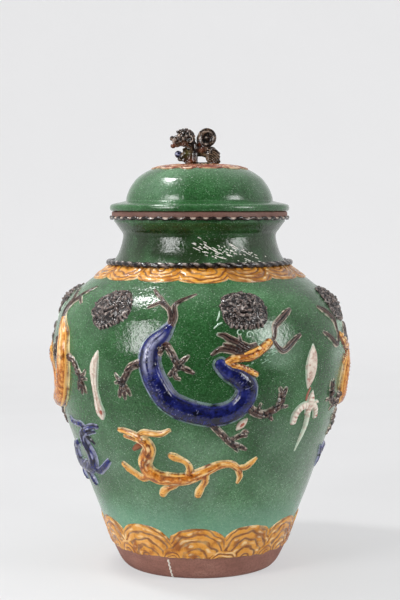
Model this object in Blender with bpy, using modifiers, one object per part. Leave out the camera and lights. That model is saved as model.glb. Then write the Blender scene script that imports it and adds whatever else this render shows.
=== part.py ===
"""A green-glazed storage jar with a domed lid, applied dragons, lion masks and a lion knob.

The jar stands on Z = 0 with its axis on Z, and its front faces -Y. The vessel and the lid are turned
shapes. Every applied piece is first modelled in the flat, x to the right, y up and z out of the clay,
and is then laid on the turned surface that carries it.
"""

import math

import bmesh
import bpy
from mathutils import Matrix, Vector

# Clearances and fineness
seat_gap = 0.0003
laying_gap = 0.0005
weld_distance = 0.000005
join_distance = 0.00008
back_step = 0.00002
smooth_angle = 40
jar_steps = 48
lid_steps = 40
scallop_steps = 4
inner_wall_steps = 4
inner_dome_steps = 2
trunk_steps = 3
strand_steps = 2
fine_lump_steps = 2
plain_lump_steps = 1
laying_steps = 4

# Vessel, up its outer side
foot_radius = 0.099
belly_radius = 0.1945
belly_height = 0.291
root_radius = 0.118
root_height = 0.400
waist_radius = 0.1015
waist_height = 0.438
collar_radius = 0.1135
collar_height = 0.4570
lip_radius = 0.1165
lip_height = 0.0080
mouth_height = 0.4700
mouth_radius = 0.1020
wall = 0.0080
base_thickness = 0.0120

# Shares of the run from foot to belly: of the growth in radius, and of the height
foot_to_belly_shares = [
    (0, 0), (0.088, 0.036), (0.225, 0.135), (0.345, 0.245), (0.50, 0.378),
    (0.665, 0.53), (0.83, 0.688), (0.945, 0.85), (1, 1),
]
# Shares of the run from belly to neck root: of the loss in radius, and of the height
belly_to_root_shares = [
    (0, 0), (0.035, 0.2), (0.14, 0.445), (0.33, 0.635), (0.55, 0.765), (0.78, 0.885), (1, 1),
]
# Shares of the run from neck root to waist, and from waist to collar
root_to_waist_shares = [(0, 0), (0.47, 0.25), (0.77, 0.54), (1, 1)]
waist_to_collar_shares = [(0, 0), (0.40, 0.48), (1, 1)]
# Steps to each stretch of those four runs
outline_steps = [[1] * 8, [1, 2, 2, 2, 1, 1], [1] * 3, [1] * 2]

# Rim frill, a pinched coil under the lip
frill_reach = 0.0030
frill_thickness = 0.0036
frill_wave = 0.0009
frill_crimps = 48

# Neck rope, a coil in the corner between shoulder and neck
rope_radius = 0.0032
rope_sides = 5

# Bands of scallops: the shoulder's hang down, the foot's and the lid's differ in size only
shoulder_band_reach = 0.0270
shoulder_scallop_rise = 0.0080
shoulder_scallops = 14
foot_band_bottom = 0.0300
foot_band_reach = 0.0480
foot_scallop_rise = 0.0200
foot_scallops = 12
lid_band_inner_radius = 0.0400
lid_band_reach = 0.0260
lid_scallop_rise = 0.0070
lid_scallops = 12
band_thickness = 0.0022
band_edge_share = 0.45

# Lid, seated on the lip
flange_radius = 0.1190
flange_thickness = 0.0135
dome_radius = 0.0975
dome_height = 0.0480
lid_wall = 0.0070
ring_depth = 0.0160
ring_clearance = 0.0040
ring_wall = 0.0070
# Shares of the dome's radius and height, from its foot to its crown
dome_shares = [(1, 0), (0.985, 0.16), (0.925, 0.42), (0.82, 0.67), (0.62, 0.89), (0.33, 0.98), (0, 1)]
# Steps to each stretch of the dome
dome_steps = [1, 1, 2, 2, 1, 1]
# Shares of the flange's overhang and thickness, from its nose round to the dome
flange_shares = [(0.88, 0), (1, 0.22), (0.98, 0.40), (0.80, 0.58), (0.40, 0.77), (0, 1)]

# Large dragons, in a field that their place and size set
dragon_height_above_floor = 0.275
dragon_width = 0.120
dragon_length = 0.110
trunk_radius = 0.0132
limb_radius = 0.0056
claw_radius = 0.0027
strand_radius = 0.0040
jaw_radius = 0.0066
dragon_angles = [0, 96, 188, -80]
dragon_mirrored = [False, True, False, True]

# Shares of the dragon's width, of its length and of the roll's radius, from tail to neck
trunk_shares = [
    (-0.30, 0.53, 0.30), (-0.38, 0.43, 0.56), (-0.47, 0.31, 0.80), (-0.48, 0.0, 1.0), (-0.33, -0.30, 1.0),
    (0.0, -0.45, 0.98), (0.34, -0.42, 0.95), (0.475, -0.17, 0.90), (0.32, 0.0, 0.72), (0.21, 0.10, 0.52),
]
upper_jaw_shares = [
    (0.23, 0.15, 0.85), (0.34, 0.18, 1.0), (0.48, 0.19, 0.80), (0.60, 0.23, 0.66), (0.68, 0.29, 0.60),
    (0.72, 0.33, 0.45),
]
lower_jaw_shares = [(0.28, 0.12, 0.70), (0.42, 0.08, 0.62), (0.51, 0.04, 0.55), (0.58, -0.01, 0.35)]
brow_shares = [(0.31, 0.22, 1.1), (0.46, 0.27, 1.5), (0.60, 0.31, 0.8)]
upper_mane_shares = [(0.44, 0.30, 0.8), (0.38, 0.35, 1.0), (0.29, 0.39, 1.1), (0.18, 0.44, 0.35)]
lower_mane_shares = [(0.42, 0.24, 0.8), (0.33, 0.25, 1.0), (0.22, 0.28, 1.0), (0.12, 0.21, 0.35)]
horn_shares = [(0.44, 0.30, 0.8), (0.41, 0.42, 0.3)]
upper_whisker_shares = [
    (0.71, 0.32, 0.5), (0.79, 0.36, 0.6), (0.84, 0.49, 0.7), (0.94, 0.59, 1.0), (1.10, 0.70, 0.4),
]
lower_whisker_shares = [
    (0.71, 0.31, 0.5), (0.80, 0.33, 0.6), (0.88, 0.24, 0.8), (0.98, 0.30, 1.0), (1.12, 0.38, 0.4),
]
left_plume_shares = [
    (-0.295, 0.56, 0.8), (-0.31, 0.68, 0.8), (-0.38, 0.79, 0.85), (-0.50, 0.93, 0.7), (-0.58, 1.04, 0.3),
]
side_plume_shares = [(-0.36, 0.78, 0.8), (-0.46, 0.83, 0.9), (-0.58, 0.76, 0.3)]
right_plume_shares = [
    (-0.29, 0.58, 0.8), (-0.26, 0.65, 0.8), (-0.28, 0.78, 0.8), (-0.19, 0.88, 0.75), (-0.04, 0.97, 0.3),
]
# Each leg: the limb, and the claws that leave it
inner_rear_leg_shares = [
    [(-0.47, 0.20, 1.1), (-0.34, 0.32, 1.0), (-0.28, 0.24, 0.85), (-0.19, 0.08, 0.85)],
    [(-0.21, 0.11, 1.0), (-0.13, 0.20, 0.8), (-0.08, 0.21, 0.3)],
    [(-0.21, 0.10, 1.0), (-0.07, 0.03, 0.4)],
    [(-0.215, 0.135, 1.0), (-0.29, -0.01, 0.4)],
]
outer_rear_leg_shares = [
    [(-0.47, 0.13, 1.1), (-0.62, 0.10, 1.0), (-0.74, 0.0, 0.85), (-0.82, -0.17, 0.85)],
    [(-0.79, -0.11, 1.0), (-0.88, -0.07, 0.8), (-0.90, -0.01, 0.3)],
    [(-0.80, -0.14, 1.0), (-0.87, -0.27, 0.4)],
    [(-0.80, -0.14, 1.0), (-0.73, -0.26, 0.4)],
]
front_leg_shares = [
    [(0.47, -0.34, 1.2), (0.60, -0.46, 1.0), (0.77, -0.48, 0.85), (0.88, -0.36, 0.85), (0.90, -0.27, 0.6)],
    [(0.87, -0.37, 1.0), (0.98, -0.41, 0.4)],
    [(0.89, -0.31, 1.0), (0.98, -0.24, 0.4)],
    [(0.89, -0.31, 1.0), (0.87, -0.19, 0.4)],
]
lower_leg_shares = [
    [(0.10, -0.46, 1.1), (0.15, -0.60, 1.0), (0.28, -0.75, 0.85), (0.38, -0.84, 0.8)],
    [(0.36, -0.82, 1.0), (0.44, -0.74, 0.8), (0.52, -0.72, 0.3)],
    [(0.36, -0.82, 1.0), (0.53, -0.90, 0.4)],
    [(0.36, -0.82, 1.0), (0.35, -0.96, 0.4)],
]

# Small dragons below them
small_dragon_height_above_floor = 0.158
small_dragon_turn = -6
small_dragon_width = 0.130
small_dragon_length = 0.070
small_trunk_radius = 0.0092
small_limb_radius = 0.0036
small_trunk_shares = [
    (-0.55, 0.61, 0.35), (-0.46, 0.60, 0.55), (-0.36, 0.50, 0.80), (-0.34, 0.22, 0.95), (-0.38, -0.05, 1.0),
    (-0.27, -0.26, 0.85), (-0.10, -0.29, 0.72), (0.07, -0.23, 0.68), (0.22, -0.06, 0.55), (0.36, 0.03, 0.40),
    (0.47, -0.06, 0.30), (0.53, -0.30, 0.12),
]
small_tail_shares = [(0.44, -0.02, 0.8), (0.54, -0.04, 0.7), (0.63, 0.07, 0.3)]
small_crest_shares = [(-0.40, 0.56, 1.0), (-0.26, 0.61, 0.8), (-0.17, 0.68, 0.3)]
small_beard_shares = [(-0.42, 0.52, 1.0), (-0.48, 0.38, 0.4)]
small_leg_shares = [
    [(-0.36, -0.22, 1.2), (-0.50, -0.26, 1.0), (-0.63, -0.12, 0.4)],
    [(-0.10, -0.32, 1.2), (-0.15, -0.47, 1.0), (-0.26, -0.64, 0.4)],
    [(0.18, -0.15, 1.2), (0.18, -0.38, 1.0), (0.11, -0.60, 0.4)],
    [(0.03, -0.22, 1.2), (0.02, 0.05, 1.0), (-0.11, 0.18, 0.5)],
]

# Lion masks round the shoulder
mask_height_above_floor = 0.352
mask_radius = 0.0300
mask_relief = 0.0110
mask_lobes = 12
mask_hollow = 0.0030
mask_angles = [-98, -38, 18, 77, 138, 200]
mask_tilts = [12, 25, 0, -10, 8, -14]
# Shares of the mask's radius and relief, on its lobes and in the notches between them
mask_lobe_shares = [(1.0, 0), (0.88, 0.62)]
mask_notch_shares = [(0.86, 0), (0.76, 0.34)]
mask_brow_shares = (0.52, 0.84)
mask_crown_share = 0.92
muzzle_shares = (0.0, -0.30, 0.40, 0.30, 0.34)
eye_shares = (0.24, 0.14, 0.15, 0.14, 0.24)

# White flame and cloud sprigs between the dragons
sprig_height_above_floor = 0.255
flame_length = 0.082
flame_radius = 0.0058
flame_angles = [-42, 142]
flame_shares = [
    (0.0, -0.50, 0.6), (-0.01, -0.38, 1.25), (0.0, -0.22, 1.0), (-0.03, 0.0, 0.72), (-0.01, 0.25, 0.95),
    (0.05, 0.42, 0.7), (0.09, 0.50, 0.25),
]
leaf_angles = [46, -126]
leaf_length = 0.050
leaf_radius = 0.0098
leaf_rise = 0.023
leaf_shares = [
    (-0.02, -0.5, 0.15), (0.0, -0.25, 0.65), (0.0, 0.08, 1.0), (0.03, 0.34, 0.6), (0.06, 0.5, 0.15),
]
cloud_angles = [48, -126]
cloud_width = 0.052
cloud_length = 0.088
cloud_radius = 0.0050
cloud_drop = 0.050
cloud_shares = [
    [
        (0.0, 0.50, 0.3), (0.02, 0.38, 0.9), (0.0, 0.29, 1.4), (-0.06, 0.06, 0.8), (-0.02, -0.28, 0.5),
        (0.04, -0.50, 0.15),
    ],
    [(0.0, 0.29, 1.3), (-0.26, 0.24, 1.0), (-0.42, 0.15, 0.9), (-0.42, 0.0, 0.5)],
    [(0.0, 0.29, 1.3), (0.18, 0.28, 1.0), (0.34, 0.20, 0.9), (0.34, 0.04, 0.5)],
]
bud_angle = 16.5
bud_height_above_floor = 0.2115
bud_length = 0.018
bud_radius = 0.0038
bud_shares = [(-0.35, -0.36, 0.2), (0.0, 0.0, 1.0), (0.35, 0.36, 0.2)]

# Lion on the lid, facing left: shares of its length from the axis, of its height and of its rolls' radius
lion_length = 0.068
lion_height = 0.048
lion_roll_radius = 0.0050
lion_leg_spread = 0.0065
lion_torso_shares = [
    (-0.345, 0.30, 0.95), (-0.18, 0.38, 1.3), (0.0, 0.375, 0.9), (0.15, 0.385, 1.0), (0.26, 0.37, 1.3),
    (0.32, 0.27, 0.9),
]
lion_neck_shares = [(-0.12, 0.40, 1.3), (-0.16, 0.50, 1.5), (-0.20, 0.62, 1.4)]
lion_near_leg_shares = [(-0.17, 0.36, 0.9), (-0.19, 0.17, 0.75), (-0.19, 0.0, 0.95)]
lion_far_leg_shares = [(-0.24, 0.34, 0.9), (-0.28, 0.14, 0.7), (-0.28, 0.0, 0.85)]
lion_haunch_shares = [(0.20, 0.38, 1.1), (0.31, 0.24, 1.3), (0.32, 0.09, 1.0), (0.32, 0.0, 0.9)]
lion_ribbon_shares = [(-0.06, 0.36, 0.5), (-0.045, 0.17, 0.42), (-0.05, 0.0, 0.5)]
# Each lump of the head: its place across and up, its half width, half height and half depth
head_shares = (-0.295, 0.745, 0.175, 0.255, 0.165)
snout_shares = (-0.49, 0.69, 0.105, 0.095, 0.115)
jaw_shares = (-0.465, 0.54, 0.085, 0.07, 0.085)
curl_shares = [
    (-0.40, 0.87, 0.06, 0.085, 0.08), (-0.29, 0.93, 0.06, 0.07, 0.08), (-0.19, 0.87, 0.06, 0.085, 0.08),
    (-0.15, 0.72, 0.05, 0.085, 0.08),
]
ear_shares = (-0.20, 0.70, 0.07, 0.105, 0.035)
ear_spread = 0.0100
ball_shares = (-0.40, 0.275, 0.078, 0.11, 0.078)
# The curled tail, a disc on edge: its middle, and shares of its radius and half depth from boss to rim
tail_radius = 0.0113
tail_half_depth = 0.0040
tail_place_shares = (0.153, 0.722)
tail_disc_shares = [(0, 0.75), (0.26, 0.6), (0.42, 0.35), (0.64, 0.4), (0.80, 1), (1, 0.45)]
tail_steps = 16

# Flat sections of a clay roll, as shares of its radius: its back lies at height 0
trunk_section_shares = [(-1, 0), (-0.75, 0.58), (0, 0.82), (0.75, 0.58), (1, 0), (0, 0.06)]
limb_section_shares = [(-1, 0), (-0.55, 0.80), (0.55, 0.80), (1, 0)]
strand_section_shares = [(-1, 0), (0, 0.95), (1, 0)]
round_section_shares = [(-1, 0), (-0.5, 0.87), (0.5, 0.87), (1, 0), (0.5, -0.87), (-0.5, -0.87)]
cutter_section_shares = [(-1, -0.6), (-1, 0), (-0.75, 0.60), (0, 0.86), (0.75, 0.60), (1, 0), (1, -0.6)]

# Colours: red, green, blue
green_glaze_colour = (0.045, 0.185, 0.085)
amber_glaze_colour = (0.62, 0.25, 0.05)
blue_glaze_colour = (0.025, 0.035, 0.20)
aubergine_glaze_colour = (0.055, 0.035, 0.035)
white_glaze_colour = (0.66, 0.68, 0.60)
glaze_roughness = 0.25
clay_roughness = 0.85


def clear_scene():
    for thing in list(bpy.data.objects):
        bpy.data.objects.remove(thing)


def new_collection(name):
    collection = bpy.data.collections.new(name)
    bpy.context.scene.collection.children.link(collection)
    return collection


def glaze(name, colour, roughness):
    material = bpy.data.materials.new(name)
    material.use_nodes = True
    shader = material.node_tree.nodes["Principled BSDF"]
    shader.inputs["Base Color"].default_value = (*colour, 1)
    shader.inputs["Roughness"].default_value = roughness
    shader.inputs["Metallic"].default_value = 0
    material.diffuse_color = (*colour, 1)
    return material


def smooth_through(points, steps):
    """Points on a smooth curve through the given ones, with its own count of steps to each stretch."""
    points = [Vector(point) for point in points]
    ends = [2 * points[0] - points[1], *points, 2 * points[-1] - points[-2]]
    curve = []
    for before, start, end, after, count in zip(ends, ends[1:], ends[2:], ends[3:], steps):
        for step in range(count):
            t = step / count
            straight = (end - before) * t
            bend = (2 * before - 5 * start + 4 * end - after) * t * t
            twist = (3 * start - before - 3 * end + after) * t * t * t
            curve.append(start + (straight + bend + twist) / 2)
    return [*curve, points[-1]]


def run_between(start, end, shares):
    """Outline points from start to end, by their shares of the change in radius and in height."""
    (start_radius, start_height), (end_radius, end_height) = start, end
    return [
        (start_radius + (end_radius - start_radius) * out, start_height + (end_height - start_height) * up)
        for out, up in shares
    ]


def flat_route(shares, width, length, radius, steps=1):
    """A smooth route in the flat: x, y and the roll's radius at each point."""
    route = [(x * width, y * length, thickness * radius) for x, y, thickness in shares]
    return smooth_through(route, [steps] * (len(route) - 1))


class Surface:
    """A turned surface that carries applied pieces, from its outline of radius and height."""

    def __init__(self, outline):
        self.outline = [Vector(point) for point in outline]
        self.lengths = [0.0]
        for start, end in zip(self.outline, self.outline[1:]):
            self.lengths.append(self.lengths[-1] + (end - start).length)
        slopes = [(end - start).normalized() for start, end in zip(self.outline, self.outline[1:])]
        normals = [Vector((slope.y, -slope.x)) for slope in slopes]
        inner = [(one + other).normalized() for one, other in zip(normals, normals[1:])]
        self.normals = [normals[0], *inner, normals[-1]]

    def stretch_at(self, length):
        """The stretch of the outline that holds this length along it, and the share of it passed."""
        last = len(self.lengths) - 2
        stretch = next((i for i in range(last) if self.lengths[i + 1] > length), last)
        start, end = self.lengths[stretch], self.lengths[stretch + 1]
        return stretch, (length - start) / (end - start)

    def length_at_height(self, height):
        for i, (start, end) in enumerate(zip(self.outline, self.outline[1:])):
            if min(start.y, end.y) <= height <= max(start.y, end.y):
                share = (height - start.y) / (end.y - start.y)
                return self.lengths[i] + share * (self.lengths[i + 1] - self.lengths[i])
        return self.lengths[-1]

    def length_at_radius(self, radius):
        for i, (start, end) in enumerate(zip(self.outline, self.outline[1:])):
            if min(start.x, end.x) <= radius <= max(start.x, end.x):
                share = (radius - start.x) / (end.x - start.x)
                return self.lengths[i] + share * (self.lengths[i + 1] - self.lengths[i])
        return self.lengths[-1]

    def radius_at(self, length):
        stretch, share = self.stretch_at(length)
        return self.outline[stretch].lerp(self.outline[stretch + 1], share).x

    def point(self, angle, length, lift):
        """The point lifted off the surface, at this angle round from the front."""
        stretch, share = self.stretch_at(length)
        place = self.outline[stretch].lerp(self.outline[stretch + 1], share)
        normal = self.normals[stretch].lerp(self.normals[stretch + 1], share).normalized()
        radius, height = place + normal * lift
        return Vector((radius * math.sin(angle), -radius * math.cos(angle), height))

    def lay(self, mesh, centre_length):
        """Lays a mesh modelled in the flat on the surface, its middle at the front."""
        reference_radius = self.radius_at(centre_length)
        for vertex in mesh.vertices:
            x, y, lift = vertex.co
            vertex.co = self.point(x / reference_radius, centre_length + y, lift + laying_gap)


def mesh_from(working):
    mesh = bpy.data.meshes.new("clay")
    working.to_mesh(mesh)
    working.free()
    return mesh


def temporary(data):
    thing = bpy.data.objects.new("working", data)
    bpy.context.scene.collection.objects.link(thing)
    return thing


def mesh_of(thing):
    """The evaluated mesh of an object, welded, and the object removed."""
    bpy.context.view_layer.update()
    evaluated = thing.evaluated_get(bpy.context.evaluated_depsgraph_get())
    mesh = bpy.data.meshes.new_from_object(evaluated)
    bpy.data.objects.remove(thing)
    working = bmesh.new()
    working.from_mesh(mesh)
    bmesh.ops.remove_doubles(working, verts=working.verts, dist=weld_distance)
    bmesh.ops.dissolve_degenerate(working, edges=working.edges, dist=weld_distance)
    bmesh.ops.recalc_face_normals(working, faces=working.faces)
    return mesh_from(working)


def section_curve(name, shares, collection):
    """A closed flat outline that a roll is drawn along its route with."""
    curve = bpy.data.curves.new(name, "CURVE")
    curve.dimensions = "2D"
    spline = curve.splines.new("POLY")
    spline.points.add(len(shares) - 1)
    spline.use_cyclic_u = True
    for point, (x, y) in zip(spline.points, shares):
        point.co = (x, y, 0, 1)
    thing = bpy.data.objects.new(name, curve)
    thing.hide_render = True
    thing.display_type = "WIRE"
    collection.objects.link(thing)
    return thing


def roll(route, section):
    """A tapering roll of clay along a route in the flat, as a closed mesh."""
    curve = bpy.data.curves.new("roll", "CURVE")
    curve.dimensions = "3D"
    curve.twist_mode = "Z_UP"
    curve.bevel_mode = "OBJECT"
    curve.bevel_object = section
    curve.use_fill_caps = True
    spline = curve.splines.new("POLY")
    spline.points.add(len(route) - 1)
    for point, (x, y, radius) in zip(spline.points, route):
        point.co = (x, y, 0, 1)
        point.radius = radius
    return mesh_of(temporary(curve))


def lump(place, half_sizes, fineness):
    """A rounded lump of clay, from its middle and its half sizes."""
    working = bmesh.new()
    bmesh.ops.create_icosphere(working, subdivisions=fineness, radius=1)
    bmesh.ops.scale(working, vec=half_sizes, verts=working.verts)
    bmesh.ops.translate(working, vec=place, verts=working.verts)
    return mesh_from(working)


def changed(mesh, tool_mesh, operation):
    """The mesh after one Boolean with the other."""
    base, tool = temporary(mesh), temporary(tool_mesh)
    change = base.modifiers.new(operation.lower(), "BOOLEAN")
    change.operation = operation
    change.object = tool
    result = mesh_of(base)
    bpy.data.objects.remove(tool)
    return result


def cleaned(mesh):
    """The mesh in triangles, with no edge too short to keep."""
    working = bmesh.new()
    working.from_mesh(mesh)
    bmesh.ops.remove_doubles(working, verts=working.verts, dist=join_distance)
    bmesh.ops.dissolve_degenerate(working, edges=working.edges, dist=weld_distance)
    bmesh.ops.triangulate(working, faces=working.faces)
    loose = [edge for edge in working.edges if edge.is_wire]
    bmesh.ops.delete(working, geom=loose, context="EDGES")
    bmesh.ops.recalc_face_normals(working, faces=working.faces)
    return mesh_from(working)


def joined(meshes):
    """One mesh of all these rolls, each backing a hair further out than the one before it."""
    whole = meshes[0]
    for number, mesh in enumerate(meshes[1:], start=1):
        mesh.transform(Matrix.Translation((0, 0, number * back_step)))
        whole = changed(whole, mesh, "UNION")
    return cleaned(whole)


def mirrored_copy(mesh):
    working = bmesh.new()
    working.from_mesh(mesh)
    bmesh.ops.scale(working, vec=(-1, 1, 1), verts=working.verts)
    bmesh.ops.reverse_faces(working, faces=working.faces)
    return mesh_from(working)


def add_part(name, mesh, material, parent=None):
    mesh.name = name
    mesh.materials.clear()
    mesh.materials.append(material)
    mesh.shade_smooth()
    mesh.set_sharp_from_angle(angle=math.radians(smooth_angle))
    thing = bpy.data.objects.new(name, mesh)
    thing.parent = parent
    if parent:
        thing.matrix_parent_inverse = parent.matrix_world.inverted()
    parts.objects.link(thing)
    return thing


def turned(outline, steps):
    """A solid turned about Z from an outline that runs outward and then down its outer side."""
    profile = bpy.data.meshes.new("profile")
    points = [(radius, 0, height) for radius, height in outline]
    profile.from_pydata(points, [(i, i + 1) for i in range(len(points) - 1)], [])
    thing = temporary(profile)
    screw = thing.modifiers.new("turn", "SCREW")
    screw.steps = steps
    screw.render_steps = steps
    screw.use_merge_vertices = True
    screw.merge_threshold = weld_distance
    return mesh_of(thing)


def ring_of_sections(sections):
    """A closed ring lofted through its sections, which differ round the ring."""
    working = bmesh.new()
    rows = [[working.verts.new(point) for point in section] for section in sections]
    for row, following in zip(rows, [*rows[1:], rows[0]]):
        for i, corner in enumerate(row):
            working.faces.new((corner, row[i - 1], following[i - 1], following[i]))
    bmesh.ops.recalc_face_normals(working, faces=working.faces)
    return mesh_from(working)


def offset_inward(surface, thickness, lowest):
    """The inner face of a wall, down from the top of a surface to its floor."""
    inner = [point - normal * thickness for point, normal in zip(surface.outline, surface.normals)]
    return [point for point in reversed(inner) if point.y > lowest]


def scallop(share):
    """The rise of a scalloped edge at this share of one scallop: 0 at its ends and 1 in its middle."""
    return math.sqrt(max(0.0, 1 - (2 * share - 1) ** 2))


def scalloped_band(surface, plain_edge, reach, rise, scallops):
    """A ring of clay on a surface, from a plain edge to a scalloped one, thickest in each scallop.

    A negative reach and rise send the scallops down the surface.
    """
    sections = []
    steps = scallops * scallop_steps
    for step in range(steps):
        share = step % scallop_steps / scallop_steps
        crest = scallop(share)
        edge = plain_edge + reach - rise + rise * crest
        middle = (plain_edge + edge) / 2
        thickness = band_thickness * (band_edge_share + (1 - band_edge_share) * crest)
        angle = 2 * math.pi * step / steps
        back = [surface.point(angle, length, laying_gap) for length in (plain_edge, middle, edge)]
        face = [
            surface.point(angle, length, laying_gap + lift)
            for length, lift in (
                (edge, thickness * band_edge_share),
                (middle, thickness),
                (plain_edge, band_thickness * band_edge_share),
            )
        ]
        sections.append(back + face)
    return ring_of_sections(sections)


def vessel_outline(detail):
    """The outer side from foot to collar, with more points to each stretch as the detail grows."""
    places = [
        (foot_radius, 0),
        (belly_radius, belly_height),
        (root_radius, root_height),
        (waist_radius, waist_height),
        (collar_radius, collar_height),
    ]
    runs = [foot_to_belly_shares, belly_to_root_shares, root_to_waist_shares, waist_to_collar_shares]
    points, steps = [places[0]], []
    for start, end, shares, counts in zip(places, places[1:], runs, outline_steps):
        points += run_between(start, end, shares)[1:]
        steps += [count * detail for count in counts]
    return smooth_through(points, steps)


def make_vessel():
    surface = Surface(vessel_outline(1))
    lip_foot = mouth_height - lip_height
    inner = offset_inward(surface, wall, base_thickness + wall)
    floor_radius = inner[-1].x - wall
    outline = [
        (0, base_thickness),
        (floor_radius, base_thickness),
        *reversed(inner[::inner_wall_steps]),
        (mouth_radius, lip_foot),
        (mouth_radius, mouth_height),
        (lip_radius, mouth_height),
        (lip_radius, lip_foot),
        (collar_radius, lip_foot),
        *reversed(surface.outline),
        (0, 0),
    ]
    add_part("jar_body", turned(outline, jar_steps), green_glaze)


def make_rim_frill():
    """The crimped coil under the lip: its outer edge waves up and down."""
    inner_radius = collar_radius + seat_gap
    top = mouth_height - lip_height - seat_gap
    sections = []
    steps = 2 * frill_crimps
    for step in range(steps):
        angle = 2 * math.pi * step / steps
        wave = frill_wave if step % 2 else -frill_wave
        reach = lip_radius + frill_reach + wave
        points = [
            (inner_radius, top),
            (inner_radius, top - frill_thickness),
            (reach, top - frill_thickness / 2 + wave),
        ]
        sections.append([(r * math.sin(angle), -r * math.cos(angle), z) for r, z in points])
    add_part("rim_frill", ring_of_sections(sections), aubergine_glaze)


def make_neck_rope(surface):
    """A coil laid in the corner where the neck springs from the shoulder."""
    length = surface.length_at_height(root_height)
    centre = surface.point(0, length, rope_radius + 2 * seat_gap)
    ring_radius = Vector((centre.x, centre.y)).length
    sections = []
    for step in range(jar_steps):
        angle = 2 * math.pi * step / jar_steps
        section = []
        for side in range(rope_sides):
            turn = 2 * math.pi * side / rope_sides
            radius = ring_radius + rope_radius * math.cos(turn)
            height = centre.z + rope_radius * math.sin(turn)
            section.append((radius * math.sin(angle), -radius * math.cos(angle), height))
        sections.append(section)
    add_part("neck_rope", ring_of_sections(sections), aubergine_glaze)
    return length


def make_bands(surface, rope_length):
    below_rope = rope_length - rope_radius - seat_gap
    shoulder = scalloped_band(
        surface, below_rope, -shoulder_band_reach, -shoulder_scallop_rise, shoulder_scallops
    )
    add_part("shoulder_scale_band", shoulder, amber_glaze)
    foot_edge = surface.length_at_height(foot_band_bottom)
    foot = scalloped_band(surface, foot_edge, foot_band_reach, foot_scallop_rise, foot_scallops)
    add_part("foot_wave_band", foot, amber_glaze)


def place_round(thing, angle):
    thing.rotation_euler = (0, 0, math.radians(angle))


def dragon_roll(shares, radius, section, steps=1):
    route = flat_route(shares, dragon_width, dragon_length, radius, steps)
    return roll(route, sections[section])


def make_large_dragon_meshes():
    """The pieces of one large dragon in the flat, each cut clear of the trunk that it is luted to."""
    trunk_route = flat_route(trunk_shares, dragon_width, dragon_length, trunk_radius, trunk_steps)
    grown_route = [(x, y, radius + seat_gap) for x, y, radius in trunk_route]
    pieces = {
        "head": [
            dragon_roll(upper_jaw_shares, jaw_radius, "limb"),
            dragon_roll(lower_jaw_shares, jaw_radius, "limb"),
            dragon_roll(brow_shares, strand_radius, "limb"),
            dragon_roll(upper_mane_shares, strand_radius, "strand"),
            dragon_roll(lower_mane_shares, strand_radius, "strand"),
            dragon_roll(horn_shares, strand_radius, "strand"),
            dragon_roll(upper_whisker_shares, strand_radius, "strand"),
            dragon_roll(lower_whisker_shares, strand_radius, "strand"),
        ],
        "tail_plume": [
            dragon_roll(left_plume_shares, strand_radius, "strand", strand_steps),
            dragon_roll(side_plume_shares, strand_radius, "strand"),
            dragon_roll(right_plume_shares, strand_radius, "strand", strand_steps),
        ],
    }
    legs = {
        "inner_rear_leg": inner_rear_leg_shares,
        "outer_rear_leg": outer_rear_leg_shares,
        "front_leg": front_leg_shares,
        "lower_leg": lower_leg_shares,
    }
    for name, (limb, *claws) in legs.items():
        pieces[name] = [dragon_roll(limb, limb_radius, "limb")]
        pieces[name] += [dragon_roll(claw, claw_radius, "strand") for claw in claws]
    meshes = {"trunk": roll(trunk_route, sections["trunk"])}
    for name, rolls in pieces.items():
        cut = [changed(one, roll(grown_route, sections["cutter"]), "DIFFERENCE") for one in rolls]
        meshes[name] = joined(cut)
    return meshes


def make_small_dragon_mesh():
    width, length = small_dragon_width, small_dragon_length
    trunk = flat_route(small_trunk_shares, width, length, small_trunk_radius)
    strands = [small_tail_shares, small_crest_shares, small_beard_shares, *small_leg_shares]
    rolls = [roll(trunk, sections["limb"])]
    for shares in strands:
        rolls.append(roll(flat_route(shares, width, length, small_limb_radius), sections["strand"]))
    return joined(rolls)


def make_dragons(surface):
    large, small = make_large_dragon_meshes(), make_small_dragon_mesh()
    large_length = surface.length_at_height(dragon_height_above_floor)
    small_length = surface.length_at_height(small_dragon_height_above_floor)
    trunk_glazes = [blue_glaze, amber_glaze, blue_glaze, amber_glaze]
    small_glazes = [amber_glaze, blue_glaze, amber_glaze, blue_glaze]
    for number, (angle, mirrored) in enumerate(zip(dragon_angles, dragon_mirrored), start=1):
        for piece, flat in large.items():
            mesh = mirrored_copy(flat) if mirrored else flat.copy()
            surface.lay(mesh, large_length)
            own_glaze = {"trunk": trunk_glazes[number - 1], "head": amber_glaze}
            thing = add_part(f"dragon_{number}_{piece}", mesh, own_glaze.get(piece, aubergine_glaze))
            place_round(thing, angle)
        mesh = mirrored_copy(small) if mirrored else small.copy()
        surface.lay(mesh, small_length)
        thing = add_part(f"small_dragon_{number}", mesh, small_glazes[number - 1])
        place_round(thing, angle + (-small_dragon_turn if mirrored else small_dragon_turn))


def mask_ring(working, lobe, notch, count):
    """A ring of points that swings between lobe and notch, each a share of radius and of relief."""
    ring = []
    for i in range(count):
        out, up = notch if i % 2 else lobe
        turn = 2 * math.pi * i / count
        x, y = out * mask_radius * math.sin(turn), out * mask_radius * math.cos(turn)
        ring.append(working.verts.new((x, y, up * mask_relief)))
    return ring


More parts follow.
